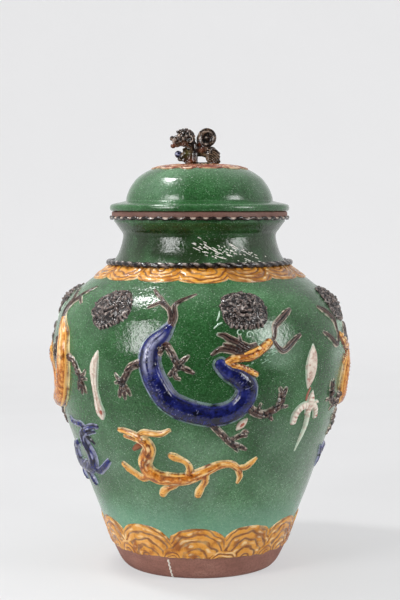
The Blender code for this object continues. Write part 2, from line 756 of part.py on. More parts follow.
def mask_mane():
    """The lobed mane: a shallow dish turned over, its back a little hollow."""
    working = bmesh.new()
    count = 2 * mask_lobes
    edge = mask_ring(working, mask_lobe_shares[0], mask_notch_shares[0], count)
    crest = mask_ring(working, mask_lobe_shares[1], mask_notch_shares[1], count)
    brow = mask_ring(working, mask_brow_shares, mask_brow_shares, mask_lobes)
    back = working.verts.new((0, 0, mask_hollow))
    crown = working.verts.new((0, 0, mask_crown_share * mask_relief))
    for i in range(count):
        after = (i + 1) % count
        working.faces.new((edge[after], edge[i], back))
        working.faces.new((edge[i], edge[after], crest[after], crest[i]))
    for i in range(mask_lobes):
        after = (i + 1) % mask_lobes
        lobe, notch, following = crest[2 * i], crest[2 * i + 1], crest[2 * after]
        working.faces.new((lobe, notch, brow[i]))
        working.faces.new((notch, following, brow[after]))
        working.faces.new((notch, brow[after], brow[i]))
        working.faces.new((brow[i], brow[after], crown))
    bmesh.ops.recalc_face_normals(working, faces=working.faces)
    return mesh_from(working)


def mask_lump(side, shares):
    """A rounded lump on the mask's face, on the given side of its middle."""
    across, up, half_width, half_height, depth = shares
    place = (side * across * mask_radius, up * mask_radius, mask_crown_share * mask_relief)
    half_sizes = (half_width * mask_radius, half_height * mask_radius, depth * mask_relief)
    return lump(place, half_sizes, plain_lump_steps)


def make_masks(surface):
    length = surface.length_at_height(mask_height_above_floor)
    lumps = [mask_lump(0, muzzle_shares), mask_lump(-1, eye_shares), mask_lump(1, eye_shares)]
    face = joined([mask_mane(), *lumps])
    for number, (angle, tilt) in enumerate(zip(mask_angles, mask_tilts), start=1):
        mesh = face.copy()
        mesh.transform(Matrix.Rotation(math.radians(tilt), 4, "Z"))
        surface.lay(mesh, length)
        place_round(add_part(f"lion_mask_{number}", mesh, aubergine_glaze), angle)


def make_sprigs(surface):
    centre = surface.length_at_height(sprig_height_above_floor)
    for number, angle in enumerate(flame_angles, start=1):
        route = flat_route(flame_shares, flame_length, flame_length, flame_radius, strand_steps)
        flame = roll(route, sections["limb"])
        surface.lay(flame, centre)
        place_round(add_part(f"flame_sprig_{number}", flame, white_glaze), angle)
    for number, angle in enumerate(leaf_angles, start=1):
        route = flat_route(leaf_shares, leaf_length, leaf_length, leaf_radius, strand_steps)
        leaf = roll(route, sections["limb"])
        surface.lay(leaf, centre + leaf_rise)
        place_round(add_part(f"leaf_sprig_{number}", leaf, white_glaze), angle)
    for number, angle in enumerate(cloud_angles, start=1):
        cloud = []
        for arm in cloud_shares:
            route = flat_route(arm, cloud_width, cloud_length, cloud_radius, strand_steps)
            cloud.append(roll(route, sections["strand"]))
        cloud = joined(cloud)
        surface.lay(cloud, centre - cloud_drop)
        place_round(add_part(f"cloud_sprig_{number}", cloud, white_glaze), angle)
    bud = roll(flat_route(bud_shares, bud_length, bud_length, bud_radius), sections["strand"])
    surface.lay(bud, surface.length_at_height(bud_height_above_floor))
    place_round(add_part("flame_bud", bud, white_glaze), bud_angle)


def dome_outline(dome_foot, detail):
    """The outer side of the dome from its foot to its crown, with more points as the detail grows."""
    points = [(dome_radius * out, dome_foot + dome_height * up) for out, up in dome_shares]
    return smooth_through(points, [detail * steps for steps in dome_steps])


def make_lid(carrier):
    """The lid's shell, with the flange that sits on the lip and the ring that drops inside it."""
    seat = mouth_height + seat_gap
    dome_foot = seat + flange_thickness
    overhang = flange_radius - dome_radius
    flange = [(dome_radius + overhang * out, seat + flange_thickness * up) for out, up in flange_shares]
    dome = Surface(dome_outline(dome_foot, 1))
    inner = offset_inward(dome, lid_wall, dome_foot)
    ring_radius = mouth_radius - ring_clearance
    ring_inner = ring_radius - ring_wall
    outline = [
        (0, dome_foot + dome_height - lid_wall),
        *inner[1::inner_dome_steps],
        (ring_inner, seat),
        (ring_inner, seat - ring_depth),
        (ring_radius, seat - ring_depth),
        (ring_radius, seat),
        *flange,
        *dome.outline[1:],
    ]
    add_part("lid_shell", turned([*reversed(outline)], lid_steps), green_glaze, carrier)
    surface = Surface(dome_outline(dome_foot, laying_steps))
    plain_edge = surface.length_at_radius(lid_band_inner_radius)
    band = scalloped_band(surface, plain_edge, -lid_band_reach, -lid_scallop_rise, lid_scallops)
    add_part("lid_scale_band", band, amber_glaze, carrier)
    return dome_foot + dome_height


def lion_roll(shares, spread=0):
    """A round roll of the lion, drawn from its left side and set out from its middle."""
    mesh = roll(flat_route(shares, lion_length, lion_height, lion_roll_radius), sections["round"])
    mesh.transform(Matrix.Translation((0, 0, spread)))
    return mesh


def lion_lump(shares, spread, growth, fineness):
    """A lump of the lion, set out from its middle and grown all round where it cuts another."""
    across, up, half_width, half_height, half_depth = shares
    place = (across * lion_length, up * lion_height, spread)
    half_sizes = (half_width * lion_length, half_height * lion_height, half_depth * lion_length)
    return lump(place, [size + growth for size in half_sizes], fineness)


def tail_disc(growth):
    """The curled tail on edge, a disc with a boss and a rim on both faces."""
    face = [(out * tail_radius, deep * tail_half_depth + growth) for out, deep in tail_disc_shares]
    nose = [(tail_radius + growth, 0)]
    outline = [*face, *nose, *((radius, -height) for radius, height in reversed(face))]
    mesh = turned(outline, tail_steps)
    across, up = tail_place_shares
    mesh.transform(Matrix.Translation((across * lion_length, up * lion_height, 0)))
    return mesh


def make_lion(carrier, feet_height):
    """The standing lion, its body cut clear of the head, the tail and the ball that are luted to it."""
    body = [
        lion_roll(lion_torso_shares),
        lion_roll(lion_neck_shares),
        lion_roll(lion_near_leg_shares, lion_leg_spread),
        lion_roll(lion_far_leg_shares, -lion_leg_spread),
        lion_roll(lion_ribbon_shares, lion_leg_spread / 2),
        lion_roll(lion_haunch_shares, lion_leg_spread),
        lion_roll(lion_haunch_shares, -lion_leg_spread),
    ]
    head_lumps = [
        (head_shares, 0, fine_lump_steps),
        (snout_shares, 0, plain_lump_steps),
        (jaw_shares, 0, plain_lump_steps),
        (ear_shares, ear_spread, plain_lump_steps),
        (ear_shares, -ear_spread, plain_lump_steps),
        *((curl, 0, plain_lump_steps) for curl in curl_shares),
    ]
    head = [lion_lump(shares, spread, 0, fineness) for shares, spread, fineness in head_lumps]
    meshes = {
        "lion_body": joined(body),
        "lion_head": joined(head),
        "lion_tail": tail_disc(0),
        "lion_ball": lion_lump(ball_shares, 0, 0, fine_lump_steps),
    }
    grown = [lion_lump(shares, spread, seat_gap, fineness) for shares, spread, fineness in head_lumps]
    grown += [tail_disc(seat_gap), lion_lump(ball_shares, 0, seat_gap, fine_lump_steps)]
    for tool in grown:
        meshes["lion_body"] = changed(meshes["lion_body"], tool, "DIFFERENCE")
    meshes["lion_body"] = cleaned(meshes["lion_body"])
    upright = Matrix.Translation((0, 0, feet_height)) @ Matrix.Rotation(math.pi / 2, 4, "X")
    for name, mesh in meshes.items():
        mesh.transform(upright)
        add_part(name, mesh, blue_glaze if name == "lion_ball" else aubergine_glaze, carrier)


clear_scene()
parts = new_collection("Sancai jar")
cutters = new_collection("Sections")

green_glaze = glaze("Green glaze", green_glaze_colour, glaze_roughness)
amber_glaze = glaze("Amber glaze", amber_glaze_colour, glaze_roughness)
blue_glaze = glaze("Blue glaze", blue_glaze_colour, glaze_roughness)
aubergine_glaze = glaze("Aubergine glaze", aubergine_glaze_colour, glaze_roughness)
white_glaze = glaze("White glaze", white_glaze_colour, glaze_roughness)

sections = {
    "trunk": section_curve("trunk_section", trunk_section_shares, cutters),
    "limb": section_curve("limb_section", limb_section_shares, cutters),
    "strand": section_curve("strand_section", strand_section_shares, cutters),
    "round": section_curve("round_section", round_section_shares, cutters),
    "cutter": section_curve("cutter_section", cutter_section_shares, cutters),
}

make_vessel()
vessel = Surface(vessel_outline(laying_steps))
make_rim_frill()
rope_place = make_neck_rope(vessel)
make_bands(vessel, rope_place)
make_dragons(vessel)
make_masks(vessel)
make_sprigs(vessel)

lid = bpy.data.objects.new("lid", None)
lid.location = (0, 0, mouth_height)
parts.objects.link(lid)
bpy.context.view_layer.update()
crown_height = make_lid(lid)
make_lion(lid, crown_height + seat_gap)
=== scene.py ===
"""Looks of the green-glazed lidded jar: turned walls, clay reliefs, glazes, floor, light and camera."""

import math

import bmesh
import bpy
import numpy as np
from mathutils import Matrix, Vector


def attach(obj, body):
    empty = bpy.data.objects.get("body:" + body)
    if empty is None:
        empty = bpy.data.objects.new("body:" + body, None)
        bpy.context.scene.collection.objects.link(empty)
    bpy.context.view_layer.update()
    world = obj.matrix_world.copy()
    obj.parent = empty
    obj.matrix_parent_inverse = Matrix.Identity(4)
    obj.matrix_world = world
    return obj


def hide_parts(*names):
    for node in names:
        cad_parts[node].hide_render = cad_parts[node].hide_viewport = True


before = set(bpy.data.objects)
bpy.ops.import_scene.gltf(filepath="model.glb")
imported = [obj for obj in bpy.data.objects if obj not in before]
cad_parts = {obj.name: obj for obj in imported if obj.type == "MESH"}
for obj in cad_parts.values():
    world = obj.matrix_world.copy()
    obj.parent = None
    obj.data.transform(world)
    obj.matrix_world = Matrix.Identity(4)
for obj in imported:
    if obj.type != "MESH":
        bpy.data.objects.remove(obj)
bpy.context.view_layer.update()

# Lengths here are in millimetres until a mesh is made
METRE = 0.001
FINE = 1.0

# Camera, in metres, and how many degrees below level it looks
CAMERA_PLACE, CAMERA_DROP = (0.0007, -1.888, 0.4813), 3.929
camera_data = bpy.data.cameras.new("camera")
camera_data.lens = 85
camera_data.sensor_width = 36
camera = bpy.data.objects.new("camera", camera_data)
camera.location = CAMERA_PLACE
camera.rotation_euler = (math.radians(90 - CAMERA_DROP), 0, 0)
bpy.context.scene.collection.objects.link(camera)
bpy.context.scene.camera = camera


# Noise and routes
def lattice(ix, iy, iz):
    """A scrambled number from -1 to 1 for each corner of a lattice."""
    n = (ix * 374761393 + iy * 668265263 + iz * 974634777) & 0xFFFFFFFF
    n = ((n ^ (n >> 13)) * 1274126177) & 0xFFFFFFFF
    return ((n ^ (n >> 16)) & 0xFFFF) / 32767.5 - 1


def noise(x, y, z=0.0):
    """Smooth noise from -1 to 1, one lump to each unit of length."""
    x, y, z = np.broadcast_arrays(x, y, z)
    base = [np.floor(v).astype(np.int64) for v in (x, y, z)]
    part = [v - b for v, b in zip((x, y, z), base)]
    ease = [p * p * (3 - 2 * p) for p in part]
    total = 0
    for i in (0, 1):
        for j in (0, 1):
            for k in (0, 1):
                weight = (ease[0] if i else 1 - ease[0]) * (ease[1] if j else 1 - ease[1])
                weight = weight * (ease[2] if k else 1 - ease[2])
                total = total + weight * lattice(base[0] + i, base[1] + j, base[2] + k)
    return total


def fractal(x, y, z):
    """Three layers of noise, each finer and weaker than the one before."""
    total, size = 0, 1.0
    for layer in range(3):
        total = total + noise(x * 2**layer + 17 * layer, y * 2**layer, z * 2**layer) * size
        size *= 0.5
    return total


def smooth_line(points, spacing=0.6):
    """Rows on a smooth curve through the given rows, about this far apart."""
    rows = np.asarray(points, float)
    ends = np.vstack([2 * rows[0] - rows[1], rows, 2 * rows[-1] - rows[-2]])
    made = []
    for a, b, c, d in zip(ends, ends[1:], ends[2:], ends[3:]):
        count = max(2, int(math.hypot(*(c - b)[:2]) / spacing))
        t = (np.arange(count) / count)[:, None]
        second, third = (2 * a - 5 * b + 4 * c - d) * t * t, (3 * b - a - 3 * c + d) * t**3
        made.append(b + ((c - a) * t + second + third) / 2)
    return np.vstack([*made, rows[-1:]])


def unit(values):
    """The values held between 0 and 1."""
    return np.clip(values, 0, 1)


def bell(values):
    """One where a value is 0, and less the further it is from that."""
    return np.exp(-(values**2))


def near(x, z, middle_x, middle_z, wide, tall=None):
    """One at a place, and less the further from it."""
    return np.exp(-(((x - middle_x) / wide) ** 2) - ((z - middle_z) / (tall or wide)) ** 2)


def ring_near(x, z, middle_x, middle_z, radius, width):
    """One on a ring about a place, and less the further from that ring."""
    return bell((np.hypot(x - middle_x, z - middle_z) - radius) / width)


# Meshes
def note(mesh, shades):
    """Notes named numbers on the points of a mesh, that its glaze reads."""
    for key, values in shades.items():
        attribute = mesh.attributes.new(key, "FLOAT", "POINT")
        attribute.data.foreach_set("value", np.asarray(values, np.float32).ravel())


def mesh_of(name, points, faces, shades=None):
    """A mesh from arrays: points in metres, faces of one size, and named numbers for each point."""
    mesh = bpy.data.meshes.new(name)
    mesh.vertices.add(len(points))
    mesh.vertices.foreach_set("co", np.asarray(points, np.float32).ravel())
    corners = faces.shape[1]
    mesh.loops.add(faces.size)
    mesh.loops.foreach_set("vertex_index", faces.astype(np.int32).ravel())
    mesh.polygons.add(len(faces))
    mesh.polygons.foreach_set("loop_start", np.arange(0, faces.size, corners, dtype=np.int32))
    mesh.update(calc_edges=True)
    mesh.validate()
    mesh.shade_smooth()
    note(mesh, shades or {})
    return mesh


def add_piece(mesh, material, body, slot, *nodes):
    """Adds a piece named as its mesh, on its body, that stands for these nodes. Its slot is not used."""
    mesh.materials.append(material)
    piece = bpy.data.objects.new(mesh.name, mesh)
    bpy.context.scene.collection.objects.link(piece)
    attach(piece, body)
    if nodes:
        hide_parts(*nodes)


def grid_faces(rows, columns, wrap):
    """Quads of a grid of points, its columns joined round where wrap is set."""
    i = np.arange(rows - 1)[:, None] * columns
    j = np.arange(columns if wrap else columns - 1)[None, :]
    after = (j + 1) % columns
    return np.stack([i + j, i + after, i + columns + after, i + columns + j], -1).reshape(-1, 4)


class Turned:
    """A turned surface, from its outline of radius and height, that reliefs are laid on."""

    def __init__(self, outline):
        self.r, self.z = np.asarray(outline, float).T
        steps = np.hypot(np.diff(self.r), np.diff(self.z))
        self.length = np.concatenate([[0], np.cumsum(steps)])
        dr, dz = np.gradient(self.r, self.length), np.gradient(self.z, self.length)
        size = np.hypot(dr, dz)
        self.nr, self.nz = dz / size, -dr / size

    def at_height(self, height):
        return float(np.interp(height, self.z, self.length))

    def at_radius(self, radius):
        """The length where a surface that closes inward has this radius."""
        return float(np.interp(-radius, -self.r, self.length))

    def radius_at(self, length):
        return float(np.interp(length, self.length, self.r))

    def place(self, angle, length, lift):
        r = np.interp(length, self.length, self.r) + lift * np.interp(length, self.length, self.nr)
        z = np.interp(length, self.length, self.z) + lift * np.interp(length, self.length, self.nz)
        return np.stack([r * np.sin(angle), -r * np.cos(angle), z], -1) * METRE


def blurred(values, cells):
    """The mean over a square that reaches this many cells each way."""
    for axis in (0, 1):
        pad = [(cells + 1, cells) if k == axis else (0, 0) for k in (0, 1)]
        total = np.cumsum(np.pad(values, pad, mode="edge"), axis=axis)
        count = values.shape[axis]
        high = np.take(total, np.arange(2 * cells + 1, 2 * cells + 1 + count), axis)
        values = (high - np.take(total, np.arange(count), axis)) / (2 * cells + 1)
    return values


# Heights of a relief's own floor over the wall, of the glaze pooled along its edge, and of no clay at all
LAY_LIFT, SKIRT_LIFT, NO_CLAY = 0.25, 0.12, -9.0


class Relief:
    """A clay relief in the flat: a height over a grid, x to the right and y up."""

    def __init__(self, left, right, bottom, top, step):
        self.step = step * FINE
        columns = int(math.ceil((right - left) / self.step)) + 1
        rows = int(math.ceil((top - bottom) / self.step)) + 1
        self.x, self.y = np.meshgrid(np.linspace(left, right, columns), np.linspace(bottom, top, rows))
        self.h = np.full(self.x.shape, NO_CLAY)
        self.paint = np.zeros(self.x.shape)
        self.shade = np.zeros(self.x.shape)

    def window(self, line, margin):
        left, bottom = line[:, 0].min() - margin, line[:, 1].min() - margin
        right, top = line[:, 0].max() + margin, line[:, 1].max() + margin
        xs, ys = self.x[0], self.y[:, 0]
        columns = slice(*np.searchsorted(xs, (left, right)))
        rows = slice(*np.searchsorted(ys, (bottom, top)))
        return rows, columns

    def merge(self, where, height, blend, paint, shade):
        """Raises the clay to this height where it is higher, rounded where the two meet."""
        old = self.h[where]
        wins = height > old
        gap = unit(1 - np.abs(height - old) / blend)
        self.h[where] = np.maximum(old, height) + gap * gap * blend / 4
        self.paint[where] = np.where(wins, paint, self.paint[where])
        self.shade[where] = np.where(wins, shade, self.shade[where])

    def roll(self, points, height=0.8, power=0.5, carve=None, blend=0.6, shade=0.0, base=0.0):
        """Adds a tapering roll. carve(s, n, r, x, y) gives its change in height, paint and shade."""
        line = smooth_line(points)
        where = self.window(line, line[:, 2].max() + 3)
        x, y = self.x[where], self.y[where]
        best, index = np.full(x.shape, np.inf), np.zeros(x.shape, int)
        for i, (px, py, r) in enumerate(line):
            reach = (x - px) ** 2 + (y - py) ** 2 - r * r
            closer = reach < best
            best[closer], index[closer] = reach[closer], i
        ahead = np.gradient(line[:, :2], axis=0)
        ahead /= np.hypot(*ahead.T)[:, None] + 1e-9
        along = np.concatenate([[0], np.cumsum(np.hypot(*np.diff(line[:, :2], axis=0).T))])
        dx, dy = x - line[index, 0], y - line[index, 1]
        r = np.maximum(line[index, 2], 0.3)
        d = np.hypot(dx, dy)
        side = (ahead[index, 0] * dy - ahead[index, 1] * dx) / r
        s = along[index] + ahead[index, 0] * dx + ahead[index, 1] * dy
        h = base + height * r * unit(1 - (d / r) ** 2) ** power - np.clip(d - r, 0, None) * 1.8
        paint = 0.0
        if carve:
            change, paint, dark = carve(s, side, r, x, y)
            shade = np.maximum(shade, dark)
            h = h + change * (d < r)
        self.merge(where, h, blend, paint, shade)

    def dome(self, x, y, rx, ry, height, base, turn=0.0, power=0.5, blend=0.5, paint=0.0, shade=0.0):
        """Adds a rounded lump, its top base plus height above the surface."""
        span = max(rx, ry) + 2
        where = self.window(np.array([[x - span, y - span], [x + span, y + span]]), 0)
        dx, dy = self.x[where] - x, self.y[where] - y
        c, s = math.cos(turn), math.sin(turn)
        u, v = (dx * c + dy * s) / rx, (dy * c - dx * s) / ry
        d = np.hypot(u, v)
        h = base + height * unit(1 - d * d) ** power - np.clip(d - 1, 0, None) * 8
        self.merge(where, h, blend, paint, shade)

    def groove(self, points, depth, width):
        """Cuts a groove along a line."""
        line = smooth_line([(*point[:2], width) for point in points])
        where = self.window(line, width * 3)
        x, y = self.x[where], self.y[where]
        nearest = np.full(x.shape, np.inf)
        for px, py, _ in line:
            nearest = np.minimum(nearest, (x - px) ** 2 + (y - py) ** 2)
        self.h[where] -= depth * np.exp(-nearest / (width * width))

    def crest(self, reach):
        """How far each place stands above its surroundings, from -1 to 1."""
        cells = max(1, int(reach / self.step))
        solid = np.clip(self.h, 0, None)
        around = blurred(blurred(solid, cells), cells)
        return np.clip((solid - around) / (0.30 * reach), -1, 1)

    def lay(self, name, surface, centre, reference, angle, mirrored=False, tilt=0.0, reach=2.2, skirt=0.0):
        """The relief as a mesh on a turned surface, its rim sunk into it past a thin skirt of glaze."""
        rows, columns = self.h.shape
        faces = grid_faces(rows, columns, False)
        flat = self.h.ravel()
        broken = noise(self.x / 6, self.y / 6, 31).ravel()
        thin = (flat > -1.3 * skirt) & (flat < SKIRT_LIFT)
        flat = np.where(thin, SKIRT_LIFT, flat) if skirt else flat
        faces = faces[(flat[faces] > 0.0).any(1)]
        used, index = np.unique(faces, return_inverse=True)
        faces = index.reshape(faces.shape)
        x, y = self.x.ravel()[used], self.y.ravel()[used]
        if mirrored:
            x, faces = -x, faces[:, ::-1]
        if tilt:
            c, s = math.cos(math.radians(tilt)), math.sin(math.radians(tilt))
            x, y = x * c - y * s, x * s + y * c
        lift = np.clip(flat[used], -1.5, None) + LAY_LIFT
        points = surface.place(math.radians(angle) + x / reference, centre + y, lift)
        shades = {
            "crest": self.crest(reach).ravel()[used],
            "paint": unit(self.paint.ravel()[used]),
            "shade": unit(self.shade.ravel()[used]),
            "rim": unit(1.2 - flat[used] / 0.9) * unit(0.6 + 0.9 * broken[used]),
        }
        return mesh_of(name, points, faces, shades)


# Glazes
def linear(red, green, blue):
    """A colour as the screen shows it, 0 to 255, in the light that a shader works in."""
    values = []
    for value in (red, green, blue):
        value /= 255
        values.append(value / 12.92 if value <= 0.04045 else ((value + 0.055) / 1.055) ** 2.4)
    return (*values, 1)


# Sockets of a node that mixes colours: the share, the two colours, and what comes out
MIX_SHARE, MIX_FIRST, MIX_SECOND, MIX_RESULT = 0, 6, 7, 2


class Nodes:
    """A node tree that is built up one node at a time."""

    def __init__(self, tree):
        self.tree = tree
        self.coordinates = self.add("ShaderNodeTexCoord").outputs
        self.place = self.coordinates["Object"]

    def add(self, kind, inputs=None, **settings):
        node = self.tree.nodes.new(kind)
        for key, value in settings.items():
            setattr(node, key, value)
        for key, value in (inputs or {}).items():
            self.feed(node.inputs[key], value)
        return node

    def feed(self, socket, value):
        if isinstance(value, bpy.types.NodeSocket):
            self.tree.links.new(value, socket)
        else:
            socket.default_value = value

    def mapped(self, stretch, turn=(0, 0, 0)):
        if not stretch:
            return self.place
        inputs = {"Vector": self.place, "Scale": stretch, "Rotation": turn}
        return self.add("ShaderNodeMapping", inputs).outputs["Vector"]

    def noise(self, scale, detail, roughness=0.55, stretch=None):
        inputs = {"Vector": self.mapped(stretch), "Scale": scale, "Detail": detail, "Roughness": roughness}
        return self.add("ShaderNodeTexNoise", inputs).outputs["Fac"]

    def cells(self, scale, stretch=None, turn=(0, 0, 0)):
        inputs = {"Vector": self.mapped(stretch, turn), "Scale": scale}
        return self.add("ShaderNodeTexVoronoi", inputs).outputs["Distance"]

    def number(self, name):
        return self.add("ShaderNodeAttribute", attribute_name=name).outputs["Fac"]

    def range(self, value, low, high, to_low=0.0, to_high=1.0):
        inputs = {"Value": value, "From Min": low, "From Max": high, "To Min": to_low, "To Max": to_high}
        return self.add("ShaderNodeMapRange", inputs, interpolation_type="SMOOTHSTEP").outputs["Result"]

    def sum(self, operation, *values):
        node = self.add("ShaderNodeMath", operation=operation)
        for socket, value in zip(node.inputs, values):
            self.feed(socket, value)
        return node.outputs[0]

    def times(self, *values):
        result = values[0]
        for value in values[1:]:
            result = self.sum("MULTIPLY", result, value)
        return result

    def mix(self, share, first, second):
        node = self.add("ShaderNodeMix", data_type="RGBA")
        self.feed(node.inputs[MIX_SHARE], share)
        self.feed(node.inputs[MIX_FIRST], first)
        self.feed(node.inputs[MIX_SECOND], second)
        return node.outputs[MIX_RESULT]

    def ramp(self, value, *stops):
        node = self.add("ShaderNodeValToRGB", {"Fac": value})
        elements = node.color_ramp.elements
        while len(elements) < len(stops):
            elements.new(0.5)
        for element, (place, colour) in zip(elements, stops):
            element.position = place
            element.color = colour
        return node.outputs["Color"]

    def bump(self, height, distance, strength=1.0, normal=None):
        inputs = {"Height": height, "Distance": distance, "Strength": strength}
        if normal:
            inputs["Normal"] = normal
        return self.add("ShaderNodeBump", inputs).outputs["Normal"]


class Shader(Nodes):
    """The node tree of a new material."""

    def __init__(self, name):
        self.material = bpy.data.materials.new(name)
        self.material.use_nodes = True
        super().__init__(self.material.node_tree)
        self.surface = self.tree.nodes["Principled BSDF"]

    def finish(self, colour, roughness, normal, gloss=0.5):
        self.feed(self.surface.inputs["Base Color"], colour)
        self.feed(self.surface.inputs["Roughness"], roughness)
        self.feed(self.surface.inputs["Normal"], normal)
        self.surface.inputs["Specular IOR Level"].default_value = gloss
        return self.material


def glaze_skin(shader, peel=0.00035):
    """The bump of a fired glaze: a soft orange peel, a fine grain and small pits."""
    soft = shader.bump(shader.noise(250, 2.5), peel)
    grain = shader.bump(shader.noise(620, 2, 0.6), 0.00010, 1.0, soft)
    pit = shader.range(shader.cells(520), 0.10, 0.30)
    return shader.bump(pit, 0.00012, 0.7, grain)


def relief_glaze(name, tones, rough=0.12, grain=170, crests=(0.30, 0.95), patch=None):
    """A glaze over relief, from six tones: where it pools, in the middle, on crests (where the glaze thins,
    and partly a painted highlight), and where the clay is painted, shaded or a rim. A patch is the tone of
    its palest clouds."""
    deep, middle, pale, painted, shaded, rim = [linear(*tone) for tone in tones]
    clouds = linear(*patch) if patch else pale
    shader = Shader(name)
    broad = shader.noise(46, 3)
    fine = shader.noise(grain, 3, 0.65)
    blend = shader.sum("ADD", shader.times(broad, 0.5), shader.times(fine, 0.5))
    colour = shader.ramp(blend, (0.38, deep), (0.50, middle), (0.66, clouds))
    crest = shader.sum("ADD", shader.number("crest"), shader.times(shader.sum("SUBTRACT", fine, 0.5), 1.2))
    # Pale on crests: partly thinner glaze, partly a painted highlight
    colour = shader.mix(shader.range(crest, *crests), colour, pale)
    colour = shader.mix(shader.range(crest, -0.05, -0.45), colour, deep)
    broken = shader.range(fine, 0.28, 0.52, 0.25, 1.0)
    colour = shader.mix(shader.times(shader.number("rim"), broken, 0.75), colour, rim)
    colour = shader.mix(shader.number("shade"), colour, shaded)
    colour = shader.mix(shader.times(shader.number("paint"), broken), colour, painted)
    roughness = shader.range(broad, 0.3, 0.7, rough, rough + 0.10)
    return shader.finish(colour, roughness, glaze_skin(shader))


def clay_colour(shader):
    """Cloudy brown clay with a dark grain."""
    grain = shader.noise(420, 4, 0.7)
    cloud = shader.noise(30, 3, 0.55, (1, 1, 2.5))
    stops = (0.30, linear(128, 86, 74)), (0.55, linear(146, 102, 89)), (0.75, linear(160, 118, 104))
    return shader.mix(shader.range(grain, 0.38, 0.78), shader.ramp(cloud, *stops), linear(112, 74, 63))


def green_glaze_colour(shader):
    """Variegated green: dark where it lies thick, milky where it thins, with dark grains."""
    broad = shader.noise(9, 4, 0.6)
    cloud = shader.noise(34, 4, 0.6, (1, 1, 0.6))
    grain = shader.noise(460, 3, 0.8)
    blend = shader.sum("ADD", shader.times(broad, 0.36), shader.times(cloud, 0.14))
    blend = shader.sum("ADD", blend, shader.times(grain, 0.50))
    colour = shader.ramp(
        blend,
        (0.37, linear(14, 40, 16)),
        (0.46, linear(31, 72, 34)),
        (0.54, linear(46, 93, 50)),
        (0.64, linear(82, 130, 86)),
    )
    dark = shader.range(shader.cells(640, (1, 1, 0.7)), 0.20, 0.05)
    return shader.mix(shader.times(dark, 0.45), colour, linear(18, 40, 18))


def green_glaze(name, foot=None, lip=None, peel=0.00054):
    """The green glaze, with bare clay under the foot line and over the lip line where these are given."""
    shader = Shader(name)
    colour = green_glaze_colour(shader)
    height = shader.add("ShaderNodeSeparateXYZ", {"Vector": shader.place}).outputs["Z"]
    wander = shader.times(shader.sum("SUBTRACT", shader.noise(45, 3), 0.5), 0.004)
    colour = shader.mix(shader.times(shader.number("olive"), 0.88), colour, linear(24, 44, 14))
    # Milky green: partly glaze that thins, partly a painted sheen of the floor and softboxes
    cloudy = shader.range(shader.noise(300, 3, 0.7), 0.30, 0.66, 0.45, 1.0)
    colour = shader.mix(shader.times(shader.number("milk_and_sheen"), cloudy), colour, linear(140, 168, 146))
    # Small pale dashes, most where the glaze is milky: painted glints, as of an orange peel catching light
    glint_places = shader.range(shader.noise(120, 2), 0.39, 0.54)
    dash = shader.range(shader.cells(290, (1, 1, 2.8)), 0.25, 0.12)
    much = shader.sum("ADD", shader.times(shader.number("milk_and_sheen"), 0.7), 0.62)
    much = shader.sum("SUBTRACT", much, shader.times(shader.number("olive"), 0.42))
    colour = shader.mix(shader.times(dash, glint_places, much), colour, linear(168, 194, 168))
    streak = shader.range(shader.cells(230, (0.55, 0.55, 2.6), (0, math.radians(-22), 0)), 0.20, 0.11)
    colour = shader.mix(shader.times(streak, shader.number("streak")), colour, linear(214, 224, 204))
    roughness = shader.range(shader.noise(60, 3), 0.35, 0.7, 0.10, 0.20)
    if foot:
        level = shader.sum("ADD", height, wander)
        thin = shader.range(level, foot + 0.085, foot + 0.008)
        colour = shader.mix(shader.times(thin, 0.70), colour, linear(104, 160, 134))
        bare = shader.range(level, foot + 0.0012, foot - 0.0006)
        colour = shader.mix(bare, colour, clay_colour(shader))
        roughness = shader.mix(bare, roughness, (0.82, 0.82, 0.82, 1))
    if lip:
        bare = shader.range(height, lip - 0.0004, lip + 0.0006)
        # The bare lip is darkened: painted shade, where the lid's flange overhangs it
        lip_painted_shade = shader.mix(0.45, clay_colour(shader), linear(44, 28, 22))
        colour = shader.mix(bare, colour, lip_painted_shade)
        roughness = shader.mix(bare, roughness, (0.6, 0.6, 0.6, 1))
    return shader.finish(colour, roughness, glaze_skin(shader, peel))


def bare_clay(name):
    shader = Shader(name)
    skin = shader.bump(shader.noise(600, 4, 0.7), 0.0003, 0.8)
    return shader.finish(clay_colour(shader), 0.82, skin, 0.3)


# Heights in metres where the green ends over the foot and under the lip
FOOT_LINE, LIP_LINE = 0.0335, 0.4612
green = green_glaze("green_glaze", FOOT_LINE, LIP_LINE)
green_lid = green_glaze("green_glaze_lid", peel=0.00032)
clay = bare_clay("bare_clay")

# Tones of each: where glaze pools, middle, crests (partly a painted highlight), painted, shaded and rim
blue = relief_glaze("blue_glaze", [
    (3, 5, 24), (10, 15, 68), (34, 42, 116), (158, 160, 190), (6, 7, 20), (124, 156, 138),
], crests=(0.55, 1.35), rough=0.09)
amber = relief_glaze("amber_glaze", [
    (92, 40, 8), (182, 104, 26), (220, 162, 78), (238, 212, 156), (112, 50, 24), (186, 190, 140),
])
aubergine = relief_glaze("aubergine_glaze", [
    (8, 4, 4), (28, 17, 14), (84, 64, 56), (204, 186, 170), (72, 36, 28), (136, 160, 132),
], crests=(0.50, 1.05))
mask_glaze = relief_glaze("mask_glaze", [
    (8, 5, 5), (32, 25, 24), (112, 97, 91), (196, 184, 176), (18, 12, 12), (120, 138, 112),
], crests=(0.30, 1.0), rough=0.07)
